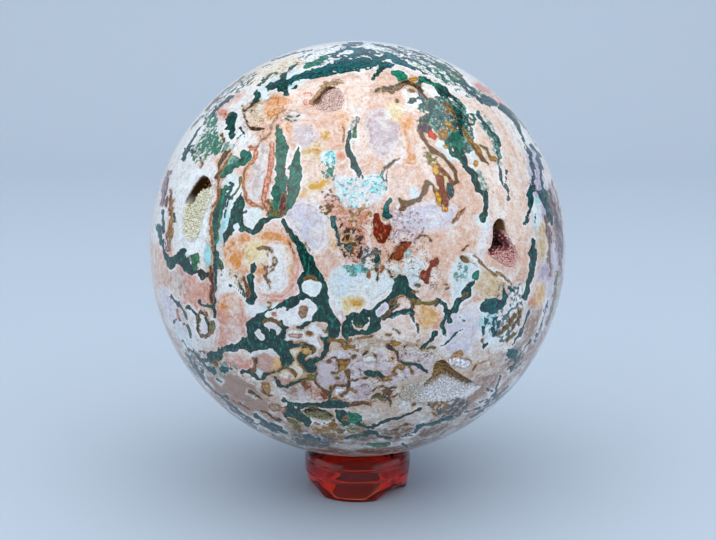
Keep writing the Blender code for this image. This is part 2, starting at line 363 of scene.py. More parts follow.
# %% Pits
# azimuth, elevation, length and width in millimetres, turn in degrees
PITS = [
    (-7.1, -17.0, 1.9, 1.9, 0), (-2.4, -20.1, 3.4, 1.9, 80), (-5.3, -22.0, 1.8, 1.6, 0),
    (-17.0, -20.9, 3.8, 2.0, -55), (-11.7, -9.6, 2.6, 1.9, -25), (16.6, -31.6, 2.0, 1.4, 60),
    (7.5, -26.2, 2.8, 1.9, -20), (27.0, 7.6, 2.8, 1.8, -35), (-0.9, -15.5, 2.0, 1.6, 0),
    (-3.4, -26.8, 2.8, 1.8, 40), (33.5, -13.9, 1.8, 1.6, 0), (-51.1, 28.8, 2.6, 1.8, 60),
    (23.4, 53.7, 2.0, 1.8, 0),
]
FAR_PITS = 9                                     # on the side that the photograph doesn't show
PIT_SEED = 21
PIT_DEPTH_MM = 0.9


def far_pits():
    """Pits behind, by the solid's own rule: at least 12 degrees apart and 18 from the pocket there."""
    rng = random.Random(PIT_SEED)
    back = POCKETS["back_pocket_druse"]
    taken = [(local_axes(back["azimuth"], back["elevation"])[0], 18)]
    pits = []
    while len(pits) < FAR_PITS:
        azimuth, elevation = rng.uniform(75, 285), rng.uniform(-45, 60)
        out = local_axes(azimuth, elevation)[0]
        if all(math.degrees(math.acos(out @ other)) > apart for other, apart in taken):
            taken.append((out, 12))
            pits.append((azimuth, elevation, rng.uniform(1.8, 3.4), rng.uniform(1.6, 2.0),
                         rng.uniform(0, 180)))
    return pits


for azimuth, elevation, length, width, turn in PITS + far_pits():
    out, right, up = local_axes(azimuth, elevation)
    near = np.flatnonzero((sphere_mm @ out > 0.98 * POLISHED_RADIUS_MM) & (hollow_mm == 0))
    x, y = sphere_mm[near] @ right, sphere_mm[near] @ up
    c, s = math.cos(math.radians(turn)), math.sin(math.radians(turn))
    r2 = ((x * c + y * s) / (length / 2 + 0.2)) ** 2 + ((y * c - x * s) / (width / 2 + 0.2)) ** 2
    depth = PIT_DEPTH_MM * np.clip(1 - r2, 0, 1)
    carved_mm[near] -= unit(sphere_mm[near]) * depth[:, None]
    hollow_mm[near] = np.maximum(hollow_mm[near], depth)
print(len(PITS), "pits in front and", FAR_PITS, "behind")

# %% [markdown]
# ## The stone's colours
#
# The ground of the stone runs from cream and peach above to a greyer pink below, and its darkest tones low on the ball
# are partly painted shade. Over it lie white and cyan quartz, a haze of fine green specks, the crisp green moss, rust
# where iron has stained it, and thin veins.
# Each tint has a name, and one function turns its sRGB value to the linear light that Blender mixes in.

# %% Tints
TINTS = {
    # ground
    "peach": "E8C8B8", "palepeach": "F0DACE", "pink": "DFAE9F", "dustpink": "CDA9A0", "rose": "DB9C8C", "salmon": "DC9A82",
    "orangepeach": "E6AC80", "orange": "E4A470", "cream": "F2E8D8", "butter": "F0DFB4", "apricot": "EBC496",
    "white": "F1F3F4", "bluewhite": "DCEAF0", "lavender": "D9D6E2", "mauve": "C9B9C0", "sugar": "D2C6CA",
    "greypeach": "D4BFB0", "greige": "C6B6A6", "dove": "BEB4AC", "mauvebrown": "A88E82", "clay": "9A7866", "loam": "7A6250",
    "stone": "948A7E", "plum": "8E7F93", "lilac": "BDB4C8", "sand": "D9C4A4", "ochrepale": "D8B884",
    # quartz
    "ice": "EAF3F5", "cyan": "AEE2E8", "aqua": "8FD6DC", "snow": "F6F8FA", "milk": "E6E4E6",
    # moss
    "deep": "04342F", "spike": "125644", "ink": "021E22", "teal": "0A484E", "green": "2F745C",
    "mist": "749C94", "blue": "1E5C68", "sky": "80B0CC", "slate": "41565E", "olive": "62632E",
    "moldgreen": "3C6C48", "grey": "8C9490",
    # iron
    "rust": "84483A", "brown": "60401F", "umber": "22140C", "ochre": "9E742E", "gold": "D4A450",
    "terracotta": "BE7C60", "maroon": "5E1820", "red": "7C302A", "scarlet": "D8503A", "purple": "40304C",
    "tan": "B08C66", "blush": "D98F80",
}


def linear(code):
    """sRGB hex to linear RGB: divide by 12.92 near black, else ((c + 0.055) / 1.055) to the power 2.4."""
    c = np.array([int(code[i:i + 2], 16) for i in (0, 2, 4)]) / 255
    return np.where(c <= 0.04045, c / 12.92, ((c + 0.055) / 1.055) ** 2.4)


print(len(TINTS), "tints")

# %% [markdown]
# ## The ground
#
# A marking is written as its tint, then "w" and a width in photo pixels if it is a brush stroke and not a
# filled outline, then "s" and how far its edge fades, then its points in photo pixels. The ground is painted in
# the order of this list, from the broad tones of each side down to the small patches.

# %% Ground, from broad tones to patches
GROUND = {
    # the lower half, lower left, lower right and underside tones: partly the stone's greyer colour, partly painted
    # shade toward the bottom
    "lower half": "greypeach s50 90,300 250,330 470,330 620,290 620,560 90,560",
    "lower left": "mauvebrown s22 150,310 200,360 250,400 310,430 330,470 180,480 110,360",
    "lower right": "mauvebrown s22 505,310 545,280 600,300 560,430 440,480 400,450 460,420 500,370",
    "underside": "stone s16 290,428 400,424 470,404 540,420 430,520 280,520 200,430",
    "upper left rim": "cream s8 172,190 165,150 195,100 235,65 290,38 345,32 345,50 300,66 262,84 236,110 "
                      "212,150 192,188",
    "upper left": "white s5 205,112 232,86 262,90 258,104 246,116 254,142 240,152 226,150 212,158 198,150",
    "under the top band": "bluewhite s4 258,88 290,66 335,54 384,52 384,66 330,76 300,84 284,98 262,102",
    "top right rim": "white s8 355,38 420,44 490,82 530,130 552,180 558,230 544,214 524,160 492,115 452,88 "
                     "402,68 362,60",
    "salmon rim": "pink s4 476,80 500,94 524,122 514,122 492,104 474,90",
    "white under arch": "white s3 404,88 426,86 426,100 440,98 460,108 474,124 470,134 462,118 440,112 424,108 "
                        "410,106",
    "above upper pocket": "palepeach s7 300,80 345,72 364,76 364,110 346,116 340,90 312,100 296,100",
    "sugary oval": "mauve s5 367,116 382,108 396,114 402,130 397,148 384,158 370,148 364,132",
    "oval rim": "lavender w6 s3 404,114 410,134 402,154 388,164",
    "butter by oval": "butter s3 388,104 402,106 403,120 390,118",
    "apricot by oval": "orangepeach s4 400,120 415,116 419,156 408,164 404,146",
    "right broad band": "palepeach s8 464,92 494,108 514,140 527,182 530,240 505,236 492,200 478,162 462,128",
    "right of moss": "palepeach s5 470,112 488,126 500,160 508,208 497,214 492,186 480,158 468,134",
    "orange patch": "orangepeach s4 251,104 262,96 284,92 290,100 284,110 270,120 256,122",
    "orange core": "orangepeach s4 262,112 272,108 284,106 280,114 268,120 260,119",
    "tan left of patch": "sand s3 250,106 262,102 262,120 254,120",
    "orange blob": "orange s3 284,126 292,124 294,136 288,138",
    "pink right of blob": "sugar s5 292,128 312,126 318,142 300,150",
    "ochre crumbs": "gold s2 322,131 330,132 328,141 322,139",
    "ochre crumbs two": "gold s2 312,144 319,142 318,151 312,150",
    "ochre right of spike": "ochrepale s4 303,150 322,146 322,162 304,162",
    "apricot streak": "ochrepale s4 300,180 316,176 332,174 328,186 312,194 300,196",
    "gold streak": "gold s3 306,184 318,179 330,177 326,183 312,190",
    "peach by spike": "palepeach s5 298,160 316,158 318,178 300,182",
    "salmon speckle": "pink s6 322,196 340,198 370,206 372,220 350,226 326,212",
    "milk by oval": "palepeach s4 352,132 364,128 368,154 358,166 354,148",
    "lavender field": "lavender s4 284,206 300,200 322,206 328,226 324,248 310,252 298,236 286,218",
    "ochre edge of field": "apricot w5 s2 322,206 332,226 334,248",
    "salmon edge left": "salmon w3 s2 288,238 294,250 298,266",
    "granular pink": "pink s5 338,222 352,218 366,228 366,258 352,266 340,252",
    "brown grains": "tan s5 340,236 350,232 360,244 356,256 344,252",
    "salmon grain": "salmon s3 354,250 362,250 362,262 354,262",
    "salmon grain two": "salmon s2 356,213 366,212 364,222 356,222",
    "white column": "white s4 176,180 186,160 206,158 216,168 214,200 208,240 212,262 184,262 172,240",
    "cyan columns": "bluewhite s3 222,176 234,170 242,196 236,240 230,268 216,268 214,230 218,196",
    "apricot spot": "apricot s3 172,182 180,178 180,194 174,196",
    "left rim stripes": "pink s4 163,170 172,172 170,200 168,240 160,258 158,220",
    "salmon patch": "salmon s3 217,176 226,176 224,190 218,190",
    "white lens": "sugar s2 262,142 267,152 266,164 264,182 262,192 258,200 252,200 249,190 252,176 256,156",
    "nodule": "orangepeach s3 226,246 236,232 252,236 266,230 284,232 296,240 300,262 298,284 290,300 "
              "262,302 240,286 224,266",
    "nodule orange": "orange s8 224,248 236,236 248,238 246,262 232,268",
    "nodule butter": "butter s4 244,248 256,240 266,244 264,262 248,266",
    "nodule white": "white s5 268,246 284,246 288,268 286,290 266,298 258,288 268,268",
    "nodule rim": "salmon w7 s3 286,232 294,244 298,262 297,280 290,294 272,303 256,300",
    "white under nodule": "white s3 216,262 226,270 240,288 246,302 236,300 218,298",
    "left mauve": "pink s5 172,270 186,262 212,282 212,304 198,312 180,296",
    "left mauve core": "mauvebrown s8 172,272 182,272 184,290 176,292",
    "left rim white": "bluewhite s4 160,290 168,296 182,326 196,346 186,350 166,316",
    "mauve tongue": "pink s3 218,300 230,292 244,302 250,318 246,334 238,346 218,348 214,322",
    "tongue top": "orangepeach s5 220,300 232,294 240,304 232,312 220,310",
    "white past narrow spike": "white s3 244,304 262,302 276,308 262,322 250,318",
    "lavender right": "lavender s7 398,208 420,202 452,206 456,222 430,236 404,232",
    "peach right": "peach s8 400,236 450,232 490,246 484,272 470,270 430,300 408,296 412,262",
    "white pocket rim": "lavender w7 s3 488,222 484,240 480,256",
    "white by red": "bluewhite s4 406,262 424,262 420,286 408,288",
    "white cyan field": "bluewhite s4 332,272 350,264 398,268 402,282 380,300 356,308 340,312 330,300",
    "butter under field": "butter s3 340,300 356,296 368,300 358,310 344,312",
    "gold under field": "gold s2 348,300 358,298 366,303 356,308",
    "orange tongue": "apricot s2 413,303 425,303 436,306 440,312 440,322 437,328 430,332 424,334 420,325 "
                     "416,318 413,310",
    "white right field": "bluewhite s4 454,262 480,258 474,290 460,308 452,300",
    "white right field low": "white s4 478,310 496,312 520,284 524,320 506,348 482,346 476,330",
    "sand right": "sand s3 478,272 488,270 500,274 504,288 498,298 484,298 476,286",
    "lavender low right": "lavender s6 444,316 466,304 486,312 478,336 470,352 448,356 440,336",
    "lower centre": "greige s8 340,338 400,336 440,350 430,380 396,392 350,398 332,372",
    "lower centre pale": "palepeach s6 378,318 412,304 420,336 400,338 380,336",
    # purple and lilac along the right limb: painted reflection of the surroundings over the stone's mauve edge
    "purple rim": "plum s4 545,190 556,192 566,240 562,290 552,300 554,250",
    "lilac rim": "lilac s4 528,190 544,200 552,240 550,300 540,300 538,250",
    "tan rim": "sand s3 536,225 548,222 548,250 540,262",
    "orange rim": "apricot s3 534,286 545,284 546,304 536,306",
    "salmon rim low": "salmon s2 529,296 535,296 534,306 529,305",
    "olive rim": "olive s2 w3 558,282 556,300 552,320",
    "lilac rim low": "lilac s3 548,288 556,286 550,322 542,326",
    "white below lower pocket": "greige s4 400,396 430,388 478,384 490,392 456,408 420,408 404,404",
    "ochre streaks": "tan s4 312,426 330,424 346,430 340,438 318,438",
    # painted shade where the ball sits on the ring, over brownish stone
    "salmon by the ring": "clay s5 325,446 412,446 400,462 336,462",
    "white cells low left": "milk s4 186,318 200,314 216,322 214,344 196,344",
    "pink patch low left": "rose s4 228,358 250,356 254,366 246,374 230,370",
    "rose by the upper green": "rose s3 216,110 224,106 229,112 226,120 218,118",
    "rose streak above it": "pink s3 220,102 236,94 246,90 236,102 224,106",
    "blue lens on the left rim": "lavender s3 160,288 172,296 182,316 182,332 170,320",
    "mauve low right": "mauvebrown s6 470,380 500,370 516,376 500,400 470,420 440,430 430,420 452,404",
    "pale cells low": "sugar s3 320,354 340,352 362,358 372,372 360,384 336,390 322,384 314,370",
    "pale cells right": "sugar s4 372,352 392,352 420,350 434,356 426,374 404,380 384,388 374,376",
    # painted shade where the ball sits on the ring, over brownish stone
    "brown by the ring": "loam s8 296,440 330,430 380,428 420,424 452,420 430,444 400,454 320,454",
    "nodule rim rose": "pink w7 s3 296,246 299,258 298,270 294,284 284,294 270,297 258,291 254,280",
    # white along the top: partly the stone's white, partly painted light on the top of the ball
    "top whites": "white s6 300,50 340,44 400,48 440,66 470,92 462,96 430,78 396,64 352,56 306,64",
    "left rim whites": "white s5 168,170 184,136 200,130 204,150 196,190 186,214 168,220 160,240 152,236 156,200",
    "tongue left edge": "orange w5 s3 414,305 414,316 419,324",
    "tongue right edge": "salmon w4 s3 439,308 440,320 436,328",
    "lavender strip": "lavender s2 326,352 344,352 348,358 334,359 324,358",
    "mauve cell low": "mauve s3 352,384 366,382 374,390 366,400 346,402 342,397 352,393",
    "dusty stripes": "dustpink s3 286,386 300,383 312,380 320,388 326,398 312,400 296,398",
    "salmon by the long line": "orangepeach w4 s2 389,352 391,357 392,362",
    "mauve grey cell": "mauvebrown s3 284,388 292,386 302,385 311,391 312,398 298,400 284,398",
    "mauve left of the cells": "mauvebrown s3 248,380 256,384 262,390 264,396 256,394 248,390",
    "white by the hook": "bluewhite w4 s2 352,138 358,140",
    "salmon by the crescent": "salmon s2 338,152 344,152 344,160 338,160 | 393,152 402,153 402,160 393,160",
    "peach over the crescent": "orangepeach s4 338,114 347,116 346,128 340,130",
}
print(len(GROUND), "patches of ground")

# %% [markdown]
# ## Quartz and haze
#
# Clear quartz filled the last gaps, so it shows as white, icy or cyan lenses with a sugary grain. The glints
# and part of the sparkling field are painted highlights, and the lavender and lilac on the right limb are painted
# reflection. The haze is moss too fine to see as strands: a grey green that the material later breaks into specks.

# %% Quartz lenses and green haze
QUARTZ = {
    "beside top mass": "ice 257,90 264,89 270,92 268,98 262,102 257,99",
    "under top mass": "ice 284,82 292,79 304,79 316,78 300,85 290,86",
    "lens by orange patch": "milk 281,119 285,115 290,112 297,112 302,114 304,118 300,120 295,122 288,120",
    "white by arch": "snow 425,88 432,88 439,93 440,98 433,97 427,93",
    "white right of moss": "snow 464,104 469,108 472,116 468,119 464,113",
    "lens right of moss": "ice 467,143 471,146 475,154 477,162 474,168 470,160 467,152",
    "pool in wedge": "ice 244,207 249,209 258,206 262,212 259,221 252,229 247,226 244,217",
    "streak left of wedge": "ice 225,190 233,180 234,190 229,204 224,216 221,230 219,218 221,204",
    # the sparkling field and its cyan core: white and cyan quartz with a painted highlight in it
    "sparkling field": "milk s3 333,180 344,174 360,176 384,172 387,184 382,200 366,210 350,210 338,202",
    "cyan core": "ice s3 361,178 374,173 386,177 383,190 372,195 362,190",
    "by the claws": "bluewhite 410,190 418,187 420,194 414,199 409,196",
    "cyan by red": "aqua s2 352,266 360,264 364,269 360,273 353,272",
    "cyan by ring line": "cyan s2 405,251 411,249 412,256 407,260",
    "rim lens": "ice 532,198 537,196 541,206 541,222 537,229 533,222 531,208",
    "white beside slit": "snow w2 340,316 339,326 340,336",
    "sugar left pocket": "snow s3 178,182 190,170 206,168 214,178 213,200 208,228 206,250 190,256 176,244 178,214",
    "white low right": "ice s2 480,324 490,316 498,330 494,344 484,350 480,338",
    "white by slate line": "ice w4 s2 512,348 518,338 522,328",
    "by green band foot": "ice s2 476,215 488,214 490,226 482,229 476,222",
    "white slot rim": "snow 303,414 312,420 322,421 334,420 338,424 328,426 314,425 304,420",
    "cell by P5": "milk 336,409 344,408 350,411 346,414 338,413",
    "white cell low": "snow 335,391 338,388 343,386 345,389 342,393 339,395 335,394",
    "bluish tail": "bluewhite s1 256,370 262,369 266,372 264,377 258,376",
    "lower pocket sugar": "snow s3 430,392 446,384 470,384 480,388 462,400 440,404 426,404",
    "sugar line": "snow w2 s1 400,402 406,408 398,414",
    "white under islands": "ice s2 262,304 276,302 284,308 272,312 262,314",
    "cyan column": "cyan s2 227,194 233,186 235,196 230,212 226,228 222,242 218,240 221,222 224,206",
    "ice column": "ice s1 222,176 232,172 234,182 226,190 220,196",
    "yellow between claws": "butter s1 430,160 438,162 446,172 452,182 448,186 440,176 432,168",
    "white claw line": "snow w2.5 437,153 447,163 455,175",
    "blue by scarlet": "bluewhite 436,142 442,140 450,150 457,160 452,162 444,154 438,148",
    "white streak low": "milk w4 270,378 276,386 283,393",
    # glints: painted highlights on the white druse by the lower pocket
    "glints": "snow w3 404,390 412,388 422,387 | 428,399 436,398 | 400,409 404,399 408,392",
    "crack rim": "snow w6 s1 474,257 488,268 500,275 511,282",
    "under star": "snow s1 361,357 369,356 377,358 374,363 364,363",
    "cyan between": "cyan s1 204,246 211,246 213,262 206,268",
    "lens on the right rim": "lilac s1 526,145 534,148 541,166 545,190 536,195 530,180 527,162",
    "cell on the right rim": "cyan s1 532,197 538,195 541,206 540,222 536,229 532,221 531,208",
    "cyan low right": "cyan s3 480,314 492,310 500,316 498,332 486,338 479,328",
    # lavender along the right limb: painted reflection of the surroundings
    "lavender on the rim": "lavender w5 s1 552,244 555,266 551,296 545,318",
    "brown mauve low left": "mauvebrown s4 200,366 210,376 232,372 246,380 262,392 270,412 244,412 216,394",
    "gold streak core": "gold s2 308,187 318,182 330,179 327,184 312,191",
    "mauve cell": "sugar 317,362 325,360 331,362 335,366 338,369 333,371 334,375 339,376 343,373 346,372 347,376 "
                  "345,381 340,383 335,386 331,390 327,391 323,389 319,384 315,378 312,372 313,366",
    "crumb by the arc": "snow w2 381,385 388,385",
    "cyan blob": "ice s2 321,153 327,150 334,152 336,160 336,168 330,174 324,168 321,160",
}
HAZE = {
    "upper left": "mist d0.25 209,113 213,112 216,118 214,124 218,132 219,140 216,150 205,152 203,144 206,134 208,124",
    "upper left foot": "mist d0.25 204,143 212,142 220,142 232,141 232,149 220,150 206,154",
    "right of upper band": "ice d0.25 318,66 326,62 340,59 360,56 376,58 386,64 380,69 362,70 340,74 322,74",
    "top rim": "ice d0.25 300,60 320,50 345,44 378,42 392,48 370,52 340,56 318,62",
    "above top mass": "sand d0.25 262,78 280,66 300,58 310,60 296,70 278,78",
    "arch lens": "green d0.25 397,72 403,74 409,80 408,84 402,82 397,77",
    "right mass": "green d0.25 424,98 431,97 436,96 441,99 447,100 452,105 457,109 462,115 465,124 466,150 456,152 "
                  "450,144 446,136 448,127 444,121 440,124 436,119 432,124 431,131 424,132 416,130 415,124 "
                  "419,119 426,116 430,111 428,106 424,111 418,110 416,106 422,104",
    "wedge side": "mist d0.25 225,160 235,161 235,168 226,169",
    "left small green": "moldgreen d0.25 188,256 198,254 200,262 198,270 191,268",
    # lilac at the right limb: painted reflection of the surroundings
    "right rim purple": "lilac d0.25 531,164 543,165 545,192 536,196 530,182",
    "teal by oval": "mist d0.25 352,118 357,120 356,134 350,136",
    "rim green stripes": "mist d0.25 480,112 490,122 498,142 502,166 496,164 490,140 478,120",
    "right of green band": "mist d0.25 476,168 484,178 489,190 486,196 478,182",
    "under crack": "mist d0.25 455,264 464,262 468,272 462,282 455,278",
    "purple teal mottle": "slate d0.25 364,246 373,246 381,254 380,266 372,268 362,260",
    "grey green by red": "mist d0.25 362,262 368,264 368,272 362,272",
    "white low right specks": "slate d0.25 494,318 506,314 510,326 504,338 494,336 490,326",
    "teal patch halo": "slate d0.25 504,352 520,348 522,364 512,372 506,362",
    "nodule streaks": "sand d0.25 232,268 244,280 250,296 240,290 230,276",
    "hook green": "mist d0.25 346,268 354,266 356,274 348,276",
    "green under P5": "green d0.25 344,414 352,412 362,416 362,424 350,425 342,421",
    "olive low": "olive d0.25 340,418 352,416 364,420 366,430 352,432 340,426",
    "olive left of slot": "olive d0.25 290,416 298,418 302,428 294,430",
    "slate right of lower": "slate d0.25 440,408 456,402 468,404 462,414 448,422 438,420",
    "left limb grey": "slate d0.25 190,350 204,352 222,352 214,364 200,362",
    "bottom grey": "slate d0.25 300,436 316,436 330,440 316,446 302,442",
    "teal flecks low left": "mist d0.25 206,364 230,362 236,370 214,378",
    "dense right mass": "deep d0.7 423,98 432,97 440,100 448,101 455,104 462,112 466,124 467,150 462,162 455,152 "
                        "449,142 444,128 438,124 432,128 424,130 418,124 420,116 428,110 426,103",
    "along the top": "teal d0.2 296,60 320,50 345,43 372,42 398,47 420,54 408,62 388,56 362,56 340,60 318,66",
    "top right rim": "green d0.15 398,50 430,58 458,76 486,96 478,101 450,86 424,72 402,60",
    "upper left dense": "green d0.45 206,113 214,111 218,120 217,132 222,142 226,150 214,156 203,154 196,148 "
                        "200,138 204,126",
    "above the left pocket": "moldgreen d0.25 188,148 206,142 206,158 198,163 191,156",
    "upper left limb": "slate d0.1 216,96 232,84 250,72 256,78 240,92 224,104 208,118 204,112",
    "specks in cyan": "teal d0.05 320,164 328,160 338,170 336,180 324,178",
    "grains left": "brown d0.02 322,192 346,190 350,214 334,220 322,212",
    "grains": "tan d0.05 340,200 366,200 370,220 350,228 338,216",
    "grains low": "umber d0.02 338,226 352,222 364,234 366,252 352,260 340,250",
    "rust by lower pocket": "brown d0.15 428,402 440,399 450,402 448,412 436,416 430,410",
    "slate by lower pocket": "slate d0.35 446,402 460,398 470,402 462,412 450,418 440,416",
    "foot slate": "slate d0.3 296,434 316,434 332,438 330,446 306,446 292,440",
    "foot ochre": "ochre d0.1 312,424 346,424 362,430 352,438 330,436 314,432",
    "left limb scratches": "slate d0.2 184,350 198,350 206,366 198,376 188,364",
    "low right mottle": "teal d0.1 488,314 506,312 516,322 512,336 500,342 490,334",
    "cyan by the mass": "teal d0.0 500,284 520,284 524,300 512,312 500,306",
    "olive flecks by the claws": "olive d0.1 424,148 432,150 438,160 434,168 427,162",
    "freckles left of the upper pocket": "rose d0.05 300,96 310,92 314,100 306,104",
    "mauve at the middle": "mauve d0.25 388,214 400,208 420,214 424,236 410,246 392,240",
    "speckle over the upper pocket": "clay d0.08 316,94 322,84 332,79 344,80 338,85 328,88 320,96",
    "core of the blob": "aqua d0.3 326,152 332,151 335,157 334,164 328,165 325,158",
    "green under the blob": "green d0.25 322,166 330,164 334,168 333,174 328,175 322,171",
    "cyan flecks": "aqua d0.12 368,178 378,174 385,178 385,190 376,194 369,190",
    "fine specks": "cyan d0.06 334,180 350,178 366,180 368,198 358,206 344,204 336,194",
}
print(len(QUARTZ), "quartz shapes,", len(HAZE), "hazes")

# %% [markdown]
# ## Moss
#
# The moss is hornblende and chlorite that grew into the agate while it was still soft. Its masses are
# nearly black green with ragged rims, and its strands run between them. An entry marked "hole" cuts a
# window in the moss and fills it with its own tint, because the islands of agate inside the web are
# brighter than the ground around it.

